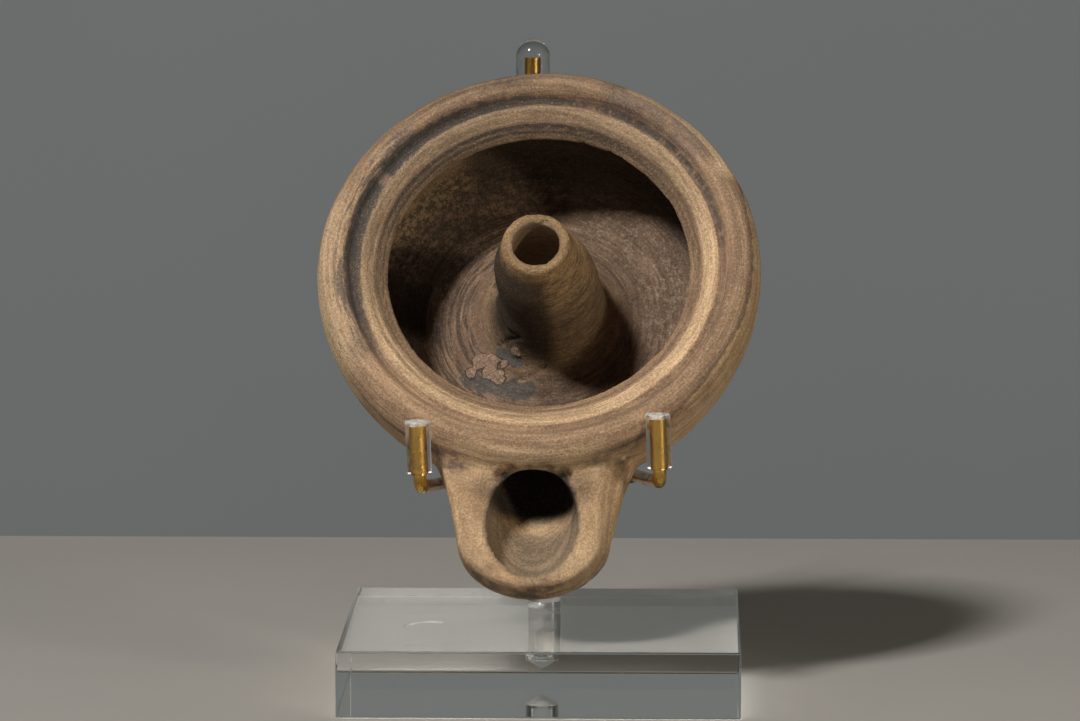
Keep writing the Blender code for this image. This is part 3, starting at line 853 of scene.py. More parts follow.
def wall_middle_mesh():
    """A turned solid that ends within the wall, so that the nozzle's root stops there."""
    inset = 0.5 * WALL
    centre = (BELLY_RADIUS - UNDERSIDE[0], BELLY_HEIGHT)
    below = ellipse_arc(centre, (UNDERSIDE[0] - inset, UNDERSIDE[1] - inset), 0, -88, 24)
    top = CROWN_HEIGHT + 5 * MM
    outline = [(0.0, top), (BELLY_RADIUS - inset, top)] + below + [(0.0, below[-1][1])]
    return mesh_of(turned_solid(outline, Vector(), TURN_STEPS), "wall_middle")


def thrown_mesh(clay):
    """The lamp upright on its own axis: thrown, luted, cut and meshed evenly."""
    guide = 20 * MM    # the circle that the profile is swept along
    profile = [Vector((radius - guide, -height, 0.0)) for radius, height in turned_profile()]
    thrown = worker_object(paths_mesh([profile], "thrown", closed=True))
    turning = thrown.modifiers.new("thrown_clay", "NODES")
    turning.node_group = turned_tree()
    set_inputs(
        turning, Guide_Radius=guide, Steps=TURN_STEPS, Out_Of_True=0.22 * MM, Seed=4.0, Clay=clay.material,
    )
    nozzle = worker_object(nozzle_mesh())
    wall_middle = worker_object(wall_middle_mesh())
    wick_hole = worker_object(wick_hole_mesh())
    passage = worker_object(passage_mesh())
    combine(nozzle, wall_middle, "DIFFERENCE")
    combine(thrown, nozzle, "UNION")
    combine(thrown, wick_hole, "DIFFERENCE")
    combine(thrown, passage, "DIFFERENCE")
    remesh = thrown.modifiers.new("even_faces", "REMESH")
    remesh.mode = "VOXEL"
    remesh.voxel_size = CLAY_GRAIN
    remesh.use_smooth_shade = True
    mesh = evaluated_mesh(thrown, "lamp")
    for helper in (nozzle, wall_middle, wick_hole, passage):
        bpy.data.objects.remove(helper, do_unlink=True)
    return mesh


class ClaySurface:
    """The lamp's points in millimetres about its own axis, to work tooling, wear and colour into."""

    def __init__(self, mesh):
        self.mesh = mesh
        flat = np.empty(len(mesh.vertices) * 3)
        mesh.vertices.foreach_get("co", flat)
        self.points = flat.reshape(-1, 3) / MM
        pairs = np.empty(len(mesh.edges) * 2, dtype=np.int64)
        mesh.edges.foreach_get("vertices", pairs)
        self.pairs = pairs.reshape(-1, 2)
        both = np.concatenate([self.pairs[:, 0], self.pairs[:, 1]])
        self.neighbours = np.bincount(both, minlength=len(self.points))
        self.measure()

    def measure(self):
        self.x, self.y, self.z = self.points.T
        self.radius = np.hypot(self.x, self.y)
        self.clock = np.degrees(np.arctan2(self.x, self.y))

    def average(self, field):
        """Each point's mean over its neighbours."""
        first, second = self.pairs.T
        total = np.bincount(first, field[second], len(field))
        total += np.bincount(second, field[first], len(field))
        return total / self.neighbours

    def mean_places(self):
        return np.stack([self.average(axis) for axis in self.points.T], axis=1)

    def spread(self, field, rounds):
        for _ in range(rounds):
            field = 0.5 * field + 0.5 * self.average(field)
        return field

    def relax(self, weight, rounds):
        """Soften the surface where the weight is, by moving points towards their neighbours."""
        for _ in range(rounds):
            self.points = self.points + 0.5 * weight[:, None] * (self.mean_places() - self.points)
        self.measure()

    def write(self):
        self.mesh.vertices.foreach_set("co", (self.points * MM).ravel())
        self.mesh.update()

    def normals(self):
        self.write()
        flat = np.empty(len(self.points) * 3)
        self.mesh.vertex_normals.foreach_get("vector", flat)
        return flat.reshape(-1, 3)

    def press(self, depth):
        """Push the surface in by a depth, or raise it where the depth is negative."""
        self.points = self.points - self.normals() * depth[:, None]
        self.measure()

    def keep(self, name, values):
        """Keep one number or three at each point, under a name that the shader reads."""
        kind, field = ("FLOAT", "value") if values.ndim == 1 else ("FLOAT_VECTOR", "vector")
        attribute = self.mesh.attributes.new(name, kind, "POINT")
        attribute.data.foreach_set(field, values.astype(np.float32).ravel())


def step_up(value, low, high):
    part = np.clip((value - low) / (high - low), 0.0, 1.0)
    return part * part * (3.0 - 2.0 * part)


def step_down(value, low, high):
    return 1.0 - step_up(value, low, high)


def between(value, low, high, soft):
    """1 between low and high, fading to 0 over the soft width outside them."""
    return step_up(value, low - soft, low) * step_down(value, high, high + soft)


def arc(clock, start, end, soft):
    """1 on the arc from start clockwise to end, in degrees from the top of the bowl."""
    middle = 0.5 * (start + end)
    off = np.abs((clock - middle + 180.0) % 360.0 - 180.0)
    return step_down(off, 0.5 * (end - start), 0.5 * (end - start) + soft)


def lumps(points, size, seed):
    """Smooth random values from -1 to 1, in lumps of about that size."""
    grid = points / size + 19.19 * seed
    base = np.floor(grid)
    part = grid - base
    part = part * part * (3.0 - 2.0 * part)
    total = np.zeros(len(points))
    for corner in np.ndindex(2, 2, 2):
        mixed = np.sin((base + corner) @ np.array([127.1, 311.7, 74.7])) * 43758.5453
        weight = np.prod(np.where(corner, part, 1.0 - part), axis=1)
        total += weight * (mixed - np.floor(mixed))
    return 2.0 * total - 1.0


def rough_lumps(points, size, seed):
    return sum(lumps(points, size / 2**level, seed + level) * 0.5**level for level in range(3)) / 1.3


def off_line(points, *places):
    """Distance in millimetres from a line through the places."""
    nearest = np.full(len(points), 1e9)
    for start, end in zip(places, places[1:]):
        start, along = np.array(start, float), np.array(end, float) - np.array(start, float)
        share = np.clip((points - start) @ along / (along @ along), 0.0, 1.0)
        nearest = np.minimum(nearest, np.linalg.norm(points - start - share[:, None] * along, axis=1))
    return nearest


def nearest_on_profile(surface, profile):
    """For each point: the nearest (radius, height) on the profile and how far along the profile that is."""
    ends = np.array(profile + profile[:1]) / MM
    starts, ways = ends[:-1], np.diff(ends, axis=0)
    lengths = np.linalg.norm(ways, axis=1)
    before = np.concatenate([[0.0], np.cumsum(lengths)[:-1]])
    flat = np.stack([surface.radius, surface.z], axis=1)
    found = np.empty_like(flat)
    along = np.empty(len(flat))
    batch = 8000
    for low in range(0, len(flat), batch):
        part = flat[low:low + batch, None, :]
        share = np.clip(((part - starts) * ways).sum(2) / np.maximum(lengths**2, 1e-12), 0.0, 1.0)
        spots = starts + share[:, :, None] * ways
        best = np.argmin(((part - spots) ** 2).sum(2), axis=1)
        rows = np.arange(len(best))
        found[low:low + batch] = spots[rows, best]
        along[low:low + batch] = before[best] + share[rows, best] * lengths[best]
    return found, along


def true_up(surface, profile):
    """Give the turned faces their crisp profile back, and soften the seam where the nozzle is luted on."""
    found, along = nearest_on_profile(surface, profile)
    off = np.hypot(surface.radius - found[:, 0], surface.z - found[:, 1])
    turned = step_down(off, 0.35, 0.8)
    scale = 1.0 + turned * (found[:, 0] / np.maximum(surface.radius, 1e-6) - 1.0)
    wobble = 0.13 * lumps(surface.points, 26.0, 3.0)
    surface.points[:, :2] *= (scale + turned * wobble / 40.0)[:, None]
    surface.points[:, 2] += turned * (found[:, 1] - surface.z)
    surface.measure()
    outside = step_up(surface.radius, 33.0, 36.0) * step_up(-surface.y, 24.0, 30.0)
    seam = surface.spread(4.0 * turned * (1.0 - turned) * outside, 6)
    surface.relax(np.clip(3.0 * surface.spread(seam, 14), 0.0, 1.0), 45)
    return surface.spread(turned, 2), along


def along_at(profile, radius, height):
    """How far along the profile its point nearest to a radius and height lies, in millimetres."""
    points = np.array(profile) / MM
    lengths = np.linalg.norm(np.diff(points, axis=0), axis=1)
    before = np.concatenate([[0.0], np.cumsum(lengths)])
    return before[np.argmin(np.hypot(points[:, 0] - radius / MM, points[:, 1] - height / MM))]


def find_regions(surface, profile, turned, along):
    """Where the bowl's inside, its top bands, its socket, the nozzle and the cut wick hole are."""
    lip = along_at(profile, LIP_RADIUS, LIP_HEIGHT)
    socket_foot = along_at(profile, SOCKET_STATIONS[-1][1] * MM, SOCKET_TOP - SOCKET_STATIONS[-1][0] * MM)
    belly = along_at(profile, BELLY_RADIUS, BELLY_HEIGHT)
    foot = along_at(profile, FOOT_RADIUS, FOOT_HEIGHT)
    surface.turned = turned
    surface.along = along
    surface.past_belly = along - belly
    surface.inside = turned * step_down(along, lip - 1.6, lip - 0.2)
    surface.above = turned * step_up(along, lip - 0.2, lip + 0.3) * step_down(along, belly, belly + 1.0)
    surface.socket = turned * step_down(along, socket_foot - 9.0, socket_foot)
    surface.bore = turned * step_up(along, foot + 3.0, foot + 5.0)
    from_hole = surface.points * MM - np.array(WICK_HOLE_PLACE)
    in_hole = np.linalg.norm(from_hole / np.array(WICK_HOLE), axis=1)
    in_passage = between(surface.z, 13.0, 25.0, 1.0) * step_down(np.abs(surface.x), 8.5, 9.5)
    in_passage *= step_down(surface.radius, 46.0, 47.0)
    surface.cut = (1.0 - turned) * np.maximum(step_down(in_hole, 1.03, 1.12), in_passage)
    surface.nozzle = (1.0 - turned) * (1.0 - surface.cut) * step_up(-surface.y, 25.0, 30.0)


def lean_socket(surface):
    """The socket leans a little to the right towards its foot, and its foot is narrower there."""
    lean = 1.7
    narrowing = 0.09
    depth = SOCKET_TOP / MM - surface.z
    near = surface.turned * step_down(surface.radius, 12.5, 19.5) * step_up(depth, 2.0, 20.0)
    near *= 1.0 - surface.bore * step_down(surface.z, 8.0, 22.0)
    near *= step_down(depth, 33.0, 33.6)
    surface.points[:, :2] *= (1.0 - narrowing * near)[:, None]
    surface.points[:, 0] += lean * near
    surface.measure()


def blobs(points, *places):
    """1 at the middle of each (x, y, z, size) place, falling to 0 at its size and below 0 beyond."""
    field = np.full(len(points), -9.0)
    for x, y, z, size in places:
        away = np.linalg.norm(points - np.array([x, y, z]), axis=1)
        field = np.maximum(field, 1.0 - away / size)
    return field


def cracks(points):
    """Distance from the cracks beside the socket, where the lime crust has lifted."""
    return np.min([off_line(points, *line) for line in CRACKS], axis=0)


def scratches(points):
    """Distance from the nicks and scratches on the nozzle."""
    return np.min([off_line(points, *line) for line in SCRATCHES], axis=0)


OUTSIDE = 9.0    # millimetres, well outside the edge of any band or stain

# places in millimetres about the lamp's axis, each with its size last; cracks and scratches are lines
FLAKES = (
    (-12.6, -9.4, 8.2, 2.2), (-10.2, -9.9, 8.7, 2.0), (-7.4, -10.3, 9.4, 2.0), (-5.2, -9.2, 11.6, 1.6),
    (-10.8, -11.8, 8.2, 2.1), (-8.2, -12.7, 8.1, 2.0), (-14.2, -11.5, 7.5, 2.0),
)
GREY_STAINS = (
    (-8.0, -8.9, 9.6, 2.2), (-5.2, -10.3, 10.3, 2.0), (-14.2, -12.5, 7.0, 2.4), (-5.8, -15.2, 7.8, 2.8),
    (-3.3, -15.6, 7.9, 2.6), (-9.2, -14.5, 7.4, 2.4), (-12.1, -14.1, 7.5, 2.2),
)
HOLE_CHIPS = (
    (-6.4, -43.7, 27.8, 1.7), (-4.2, -43.1, 28.8, 1.5), (-1.4, -43.3, 29.3, 1.3), (3.0, -43.2, 29.0, 1.4),
    (5.7, -43.5, 28.2, 1.7),
)
RIM_CHIPS = (
    (1.7, 4.5, 39.8, 1.5), (4.6, 3.2, 39.9, 1.3), (-5.5, -0.8, 39.9, 0.9), (12.0, -41.6, 27.6, 1.0),
)
PITS = (
    (1.1, -64.3, 26.9, 0.9), (-4.2, -60.6, 27.0, 0.6), (7.2, -58.8, 27.0, 0.6), (19.6, 7.1, 6.4, 0.9),
    (18.1, 5.1, 6.9, 0.9), (-36.5, 8.0, 33.2, 0.8), (-33.0, -21.5, 33.0, 0.9), (24.5, -30.0, 33.0, 0.8),
    (36.8, -9.0, 33.2, 0.8), (-12.5, -39.0, 31.8, 0.8), (9.0, 37.8, 33.3, 0.8),
)
SMUDGES = (
    (17.8, -38.9, 27.1, 4.5), (16.3, -39.9, 26.0, 4.0), (12.6, -40.8, 28.9, 4.0), (-19.5, -37.0, 28.0, 5.0),
    (-14.0, -41.0, 28.5, 3.5), (2.0, -40.5, 29.5, 4.0), (30.0, 19.7, 31.0, 1.8), (-33.0, -19.0, 32.5, 3.5),
    (-8.0, 39.5, 33.0, 6.0),
)
CRACKS = (
    ((-10.0, 7.2, 9.1), (-9.2, 2.2, 11.7), (-7.6, -3.5, 17.0), (-7.0, -5.4, 15.1)),
    ((-7.0, -5.4, 15.1), (-5.6, -7.3, 16.1), (-4.3, -8.4, 16.6)),
    ((-8.6, -6.9, 10.1), (-6.8, -6.9, 12.3), (-4.3, -8.4, 16.6)),
    ((-5.6, -14.0, 8.6), (-4.1, -13.4, 8.7), (-1.6, -13.2, 9.5), (1.0, -12.1, 11.0)),
)
SCRATCHES = (
    ((9.8, -48.9, 26.9), (13.2, -50.4, 26.1)),
    ((3.7, -52.4, 16.5), (6.3, -53.5, 18.5)),
    ((-5.8, -42.4, 27.9), (-5.0, -44.2, 27.5)),
    ((4.6, -42.6, 28.0), (5.4, -44.0, 27.6)),
)
TIP_SOOT = (
    (0.7, -67.0, 22.5, 9.0), (-9.9, -64.0, 20.5, 9.0), (10.8, -63.0, 19.0, 9.0), (0.0, -61.0, 12.0, 10.0),
)


def flaked(points):
    """Above 0.25 where the lime crust still stands in flakes."""
    ragged = 0.45 * rough_lumps(points, 3.1, 11.0) + 0.35 * rough_lumps(points, 1.1, 15.0)
    return blobs(points, *FLAKES) + ragged


def wear(surface):
    """Throwing rings, a hand-made unevenness, lifted crust, cracks, nicks, chips and softened edges."""
    points = surface.points
    swing = 0.9 * lumps(points, 20.0, 5.0)
    rings = np.sin(surface.along * 2.6 + swing) + 0.8 * np.sin(surface.along * 1.55 + 2.0 + swing)
    faint = np.sin(surface.along * 3.9 + 2.0 * swing) * lumps(points, 11.0, 9.0)
    outer = surface.turned * (1.0 - surface.inside)
    tooling = 0.05 * rings * surface.inside * (1.0 - 0.75 * surface.socket) + (0.05 + 0.03 * faint) * outer
    uneven = 0.09 * lumps(points, 9.0, 1.0) + 0.045 * rough_lumps(points, 3.0, 2.0)
    bend = surface.mean_places() - points
    convex = np.clip(-(bend * surface.normals()).sum(1) * 7.3, 0.0, 1.0)
    edge = surface.spread(convex, 1)
    surface.edge = surface.spread(edge, 2)
    rubbed = edge * step_up(rough_lumps(points, 2.4, 7.0), 0.0, 0.5)
    cracked = step_down(cracks(points), 0.15, 0.7) * surface.inside
    scratched = step_down(scratches(points), 0.1, 0.5)
    flaky = step_up(flaked(points), 0.25, 0.36) * surface.inside
    rim_chips = step_up(blobs(points, *RIM_CHIPS) + 0.25 * rough_lumps(points, 1.5, 12.0), 0.1, 0.7)
    pits = step_up(blobs(points, *PITS), 0.1, 0.7)
    hole_chips = step_up(blobs(points, *HOLE_CHIPS) + 0.4 * rough_lumps(points, 1.3, 14.0), 0.1, 0.6)
    crust = surface.inside * (1.0 - surface.socket) * step_up(surface.radius, 17.0, 22.0)
    crust = crust * step_up(rough_lumps(points, 1.7, 13.0), 0.05, 0.35)
    worn = 0.35 * rubbed + 0.4 * cracked + 0.25 * scratched
    chipped = 0.7 * rim_chips + 0.5 * pits + 0.9 * hole_chips
    return tooling + uneven + worn + chipped - 0.4 * flaky - 0.12 * crust


def by_clock(clock, *stops):
    """A value that changes round the bowl, from (clock, value) stops."""
    clocks, values = zip(*stops)
    return np.interp(clock, clocks, values)


def bands(surface):
    """Signed distances, in millimetres inside their edges, of the bands on the bowl's top, and painted
    light and shade round it.
    """
    radius, clock, above = surface.radius, surface.clock, surface.above
    elsewhere = OUTSIDE * (1.0 - above)
    surface.keep("ridge", np.minimum(radius - 31.9, 34.75 - radius) - elsewhere)
    half = by_clock(
        clock, (-128, 0.5), (-100, 1.5), (-56, 1.5), (-12, 0.9), (5, 0.6), (50, 0.5), (110, 0.3),
    )
    strength = by_clock(
        clock, (-135, 0.0), (-104, 0.85), (-61, 1.0), (-59.5, 0.15), (-57, 0.15), (-56, 1.0),
        (-12, 0.9), (5, 0.8), (50, 0.8), (95, 0.4), (125, 0.0),
    )
    surface.keep("paint", half - np.abs(radius - 35.8))
    surface.keep("paint_strength", strength * above)
    smear = arc(clock, -114, -48, 12) * between(radius, 36.0, 38.8, 1.2) * above
    surface.keep("paint_smear", smear)
    line = by_clock(
        clock, (-180, 32.6), (-130, 32.8), (-64, 32.4), (-31, 34.2), (5, 33.4), (43, 30.8), (87, 30.7),
        (180, 31.0),
    )
    surface.keep("thin_line", (0.32 - np.abs(radius - line)) - elsewhere)
    # painted light and shade: the ridge, the inner band and the shoulder are darker from the left round the
    # top and lighter on the right, as the light falls on them
    tone = by_clock(
        clock, (-180, 1.0), (-125, 1.0), (-85, 0.6), (-60, 0.5), (15, 0.5), (50, 0.68), (85, 1.12),
        (130, 1.25), (180, 1.0),
    )
    top = by_clock(
        clock, (-62, 1.0), (-34, 0.72), (30, 0.72), (60, 1.0), (90, 1.0), (120, 0.86), (165, 0.86),
        (180, 1.0),
    )
    tone = tone + (top - tone) * step_up(radius, 34.6, 35.6)
    surface.keep("band_tone", 1.0 + (tone - 1.0) * above)
    # painted highlight: the pale band on the left of the shoulder, palest towards its outer edge, stands in
    # for light catching that edge; the patches at the upper right and at the bottom are pale wear
    left = 0.5 * step_up(radius, 36.8, 38.5) + 0.5 * step_up(radius, 39.6, 41.5)
    pale = arc(clock, -116, -76, 12) * left
    pale = np.maximum(pale, arc(clock, 26, 62, 4) * between(radius, 40.6, 42.4, 0.6))
    pale = np.maximum(pale, 0.8 * arc(clock, -196, -162, 6) * step_up(radius, 40.0, 41.5))
    surface.keep("worn_pale", pale * step_down(surface.past_belly, 0.0, 3.0) * surface.turned)
    surface.keep("inner_band", np.minimum(31.5 - radius, 3.0) - elsewhere)
    lines = np.maximum(0.42 - np.abs(radius - 31.25), 0.2 - np.abs(radius - 30.1))
    surface.keep("inner_lines", lines - elsewhere)
    # painted shade: the inner band and its lines are painted darker round the top, where they face away
    # from the light
    dark = by_clock(
        clock, (-180, 0.2), (-120, 0.5), (-60, 0.85), (0, 1.0), (45, 0.75), (90, 0.35), (180, 0.2),
    )
    surface.keep("inner_band_dark", dark)
    patch = arc(clock, 21, 53, 5) * between(radius, 35.3, 41.3, 0.5)
    tail = arc(clock, 53, 78, 8) * between(radius, 34.7, 36.3, 0.4)
    surface.keep("grey_patch", np.maximum(patch, 0.8 * tail) * above)


def slips(surface):
    """The thin slip on the shoulder, its edge on the nozzle, and what has stained or worn it."""
    edge = np.interp(surface.x, (-16.0, -6.4, 5.0, 12.6, 18.1), (-41.9, -42.9, -43.0, -42.4, -38.6))
    on_nozzle = np.minimum(surface.y - edge, surface.z - 21.0)
    low_side = by_clock(
        surface.clock, (-180, -3.0), (-165, -3.0), (-150, 1.0), (-120, -1.5), (-92, -3.0),
        (-70, 0.0), (-40, 4.0), (0, 5.0), (50, 1.0), (75, -4.5), (125, -5.0), (155, -2.6), (180, -3.0),
    )
    on_bowl = np.minimum(low_side - surface.past_belly, 3.0)
    bare = OUTSIDE * (surface.inside + surface.cut)
    surface.keep("slip", surface.turned * on_bowl + surface.nozzle * on_nozzle - bare)
    surface.keep("smudge", np.clip(blobs(surface.points, *SMUDGES), 0.0, 1.0))
    soot = np.clip(1.6 * blobs(surface.points, *TIP_SOOT), 0.0, 1.0)
    surface.keep("soot", soot * surface.nozzle)
    fresh = blobs(surface.points, *RIM_CHIPS, (35.3, 20.4, 32.9, 1.9), (1.1, -64.3, 26.9, 0.5))
    surface.keep("fresh_chip", np.clip(1.5 * fresh, 0.0, 1.0))
    surface.keep("edge_wear", surface.edge)


def bowl_inside(surface):
    """The inside: its darker clay, turning lines, lime crust, stains and cracks, with painted shade on its
    walls, in the wick hole and on the socket's lower left, and painted light on its upper left wall.
    """
    points, clock, radius = surface.points, surface.clock, surface.radius
    depth = SOCKET_TOP / MM - surface.z
    floor = surface.inside * (1.0 - surface.socket)
    elsewhere = 1.0 - surface.inside
    # painted shade: the top and the left of the bowl's wall are painted near black where the rim's shadow
    # falls on them
    wall_top = arc(clock, -22, 70, 10) * step_up(radius, 27.0, 33.0)
    wall_left = arc(clock, -122, -76, 8) * step_up(radius, 21.5, 25.0)
    # painted shade: the passage into the bowl, the upper part of the wick hole up to a slanting shadow
    # edge, and the hole's chipped top edge are painted near black
    through = between(surface.z, 12.5, 25.5, 3.5) * step_down(np.abs(surface.x), 8.7, 14.0)
    through *= between(surface.y, -46.0, -34.0, 4.0)
    deep = surface.cut * step_up(surface.y + 0.9 * np.minimum(surface.x + 2.0, 0.0), -51.5, -46.5)
    chipped = np.clip(1.6 * blobs(points, *HOLE_CHIPS), 0.0, 1.0)
    crust = between(radius, 22.0, 30.0, 5.0) * arc(clock, -95, 115, 20) * floor
    low_crust = between(radius, 15.0, 24.0, 4.0) * arc(clock, -200, -150, 25) * floor
    kept = {
        "inside": surface.inside,
        "socket": surface.socket,
        "cut_hole": surface.cut,
        "bore": surface.bore,
        "socket_low": surface.socket * step_up(depth, 3.0, 15.0),
        "wall_soot": np.maximum(wall_top, wall_left) * surface.inside,
        "netted": arc(clock, -92, 6, 10) * between(radius, 24.5, 33.5, 2.5) * floor,
        "socket_arcs": arc(clock, 50, 165, 15) * between(depth, 4.0, 17.0, 2.0) * surface.socket,
        "hole_soot": np.maximum(deep, np.maximum(through, chipped)),
        # painted shade: the socket cone's lower left side, its shade side, painted very dark from just
        # below its top
        "socket_stain": arc(clock, -184, -80, 18) * surface.socket * step_up(depth, 1.0, 4.5),
        "crust": np.maximum(crust, 0.75 * low_crust),
        "crack": cracks(points) + OUTSIDE * elsewhere,
        "flake": flaked(points) * surface.inside - elsewhere,
        "grey_stain": blobs(points, *GREY_STAINS) * surface.inside - elsewhere,
        "dark_rings": arc(clock, -150, -10, 20) * between(radius, 15.0, 24.0, 2.0) * floor,
        "mound": arc(clock, -165, -25, 15) * step_down(radius, 16.0, 21.0) * floor,
        "socket_line": off_line(points, (-6.0, -3.1, 37.8), (-6.4, -4.3, 34.6), (-5.9, -6.1, 31.9)),
        # painted light: the upper left wall is painted a lighter, warmer tan where the side lamp's light
        # falls between the shadows
        "tan_wall": between(surface.z, 11.5, 30.0, 3.0) * arc(clock, -75, 5, 15) * floor,
    }
    for name, field in kept.items():
        surface.keep(name, field)


def keep_places(surface):
    """Coordinates for the shader: about the lamp's axis, and stretched along the turning lines."""
    surface.keep("lamp_place", surface.points)
    angle = np.radians(surface.clock)
    surface.keep("wheel", np.stack([surface.along, 5.0 * np.sin(angle), 5.0 * np.cos(angle)], axis=1))
    surface.keep("turned", surface.turned)


class ClayColour:
    """The clay's layers, each laid over the one before."""

    def __init__(self, finish):
        self.finish = finish
        self.place = finish.attribute("lamp_place", "Vector")
        self.wheel = finish.attribute("wheel", "Vector")
        self.grit = finish.noise(self.place, 2.4, 4.0, 0.7)
        self.speck = finish.noise(self.place, 4.2, 2.0, 0.6)
        self.mottle = finish.noise(self.place, 0.14, 5.0, 0.62)
        self.patch = finish.noise(self.place, 0.55, 5.0, 0.65)
        self.turning = finish.noise(self.wheel, 0.75, 5.0, 0.7)
        self.fine_turning = finish.noise(self.wheel, 2.6, 3.0, 0.6)
        self.colour = None

    def lay(self, mask, colour, strength=1.0):
        self.colour = self.finish.mix(mask * strength, self.colour, colour)

    def field(self, name):
        return self.finish.attribute(name)

    def ragged(self, name, noise, amount, soft=0.15):
        """A kept distance cut off at zero, with its edge broken up."""
        return self.finish.fade((noise - 0.5) * amount + self.field(name), -soft, soft)

    def patchy(self, name, noise, low, high):
        """A kept mask, thinned out where the noise is low."""
        return self.field(name) * self.finish.fade(noise, low, high)

    def body(self):
        fade = self.finish.fade
        mottle = fade(self.mottle, 0.36, 0.66)
        self.colour = self.finish.mix(mottle, (0.57, 0.395, 0.23), (0.46, 0.3, 0.165))
        self.lay(fade(self.patch, 0.52, 0.68), (0.36, 0.235, 0.135), 0.45)

    def outside(self):
        fade, mix = self.finish.fade, self.finish.mix
        thin = fade(self.patch * 0.5 + self.grit * 0.5, 0.54, 0.7) * 0.55
        slip = self.ragged("slip", self.patch, 1.6, 0.25) * (1.0 - thin)
        slip_colour = mix(fade(self.turning, 0.38, 0.64), (0.43, 0.275, 0.165), (0.30, 0.19, 0.115))
        slip_colour = mix(fade(self.mottle, 0.45, 0.7) * 0.6, slip_colour, (0.25, 0.16, 0.105))
        self.lay(slip, slip_colour, 0.9)
        rim_of_slip = slip * (1.0 - fade(self.field("slip"), 0.2, 1.8)) * fade(self.patch, 0.3, 0.55)
        self.lay(rim_of_slip, (0.13, 0.088, 0.06), 0.75)
        self.lay(self.patchy("grey_patch", self.patch, 0.3, 0.5), (0.215, 0.15, 0.115), 0.85)
        # pale wear, and on the left of the shoulder a painted highlight
        self.lay(self.patchy("worn_pale", self.patch, 0.25, 0.5), (0.66, 0.47, 0.28), 0.8)
        ridge = self.ragged("ridge", self.patch, 0.4, 0.15)
        cream = mix(fade(self.fine_turning, 0.45, 0.7), (0.65, 0.455, 0.27), (0.52, 0.345, 0.2))
        self.lay(ridge, mix(fade(self.mottle, 0.5, 0.7) * 0.5, cream, (0.4, 0.255, 0.15)), 0.92)
        inner = self.ragged("inner_band", self.fine_turning, 0.6, 0.2)
        self.lay(inner, mix(fade(self.turning, 0.4, 0.6), (0.44, 0.285, 0.165), (0.31, 0.195, 0.11)), 0.9)
        # painted shade on the inner band, darkest round the top
        dark = inner * self.field("inner_band_dark")
        self.lay(dark, (0.17, 0.105, 0.058), 0.6)
        self.lay(self.ragged("inner_lines", self.fine_turning, 0.5, 0.12) * dark, (0.06, 0.036, 0.02), 0.85)
        # painted light and shade: the top bands darker from the left round the top and lighter on the right
        self.colour = mix(1.0, self.colour, self.field("band_tone"), "MULTIPLY")
        self.lay(self.ragged("thin_line", self.fine_turning, 0.5, 0.25), (0.17, 0.105, 0.065), 0.5)
        smear = self.patchy("paint_smear", self.turning, 0.42, 0.54)
        self.lay(smear, (0.115, 0.095, 0.082), 0.85)
        paint = self.ragged("paint", self.patch, 1.6, 0.25) * self.field("paint_strength")
        worn = fade(self.grit * 0.45 + self.patch * 0.55, 0.57, 0.66)
        self.lay(paint * (1.0 - worn * 0.6), (0.045, 0.041, 0.04), 0.95)
        self.lay(self.patchy("smudge", self.patch, 0.38, 0.56), (0.09, 0.07, 0.057), 0.85)
        self.lay(self.patchy("soot", self.patch, 0.3, 0.6), (0.085, 0.052, 0.03), 0.9)
        self.lay(self.patchy("edge_wear", self.grit, 0.42, 0.6), (0.58, 0.42, 0.27), 0.55)
        self.lay(self.patchy("fresh_chip", self.grit, 0.3, 0.5), (0.74, 0.6, 0.44), 0.75)

    def in_the_bowl(self):
        fade, mix = self.finish.fade, self.finish.mix
        streaks = self.finish.noise(self.finish.stretched(self.wheel, (2.2, 0.5, 0.5)), 1.0, 3.0, 0.6)
        clay = mix(fade(streaks, 0.4, 0.6), (0.24, 0.148, 0.094), (0.15, 0.093, 0.06))
        clay = mix(fade(self.mottle, 0.42, 0.6) * 0.6, clay, (0.11, 0.068, 0.045))
        self.lay(self.field("inside"), clay, 0.95)
        # painted light: a lighter warm tan on the upper left wall, where the side lamp's light falls
        self.lay(self.field("tan_wall"), (0.36, 0.25, 0.13), 0.6)
        self.lay(self.patchy("mound", streaks, 0.3, 0.55), (0.36, 0.222, 0.145), 0.6)
        socket = mix(fade(self.fine_turning, 0.4, 0.65), (0.41, 0.265, 0.125), (0.31, 0.19, 0.085))
        self.lay(self.field("socket"), socket, 0.85)
        low = mix(fade(self.turning, 0.4, 0.6), (0.25, 0.165, 0.085), (0.15, 0.095, 0.05))
        self.lay(self.field("socket_low"), low, 0.85)
        self.lay(self.patchy("socket_arcs", streaks, 0.52, 0.6), (0.05, 0.033, 0.018), 0.6)
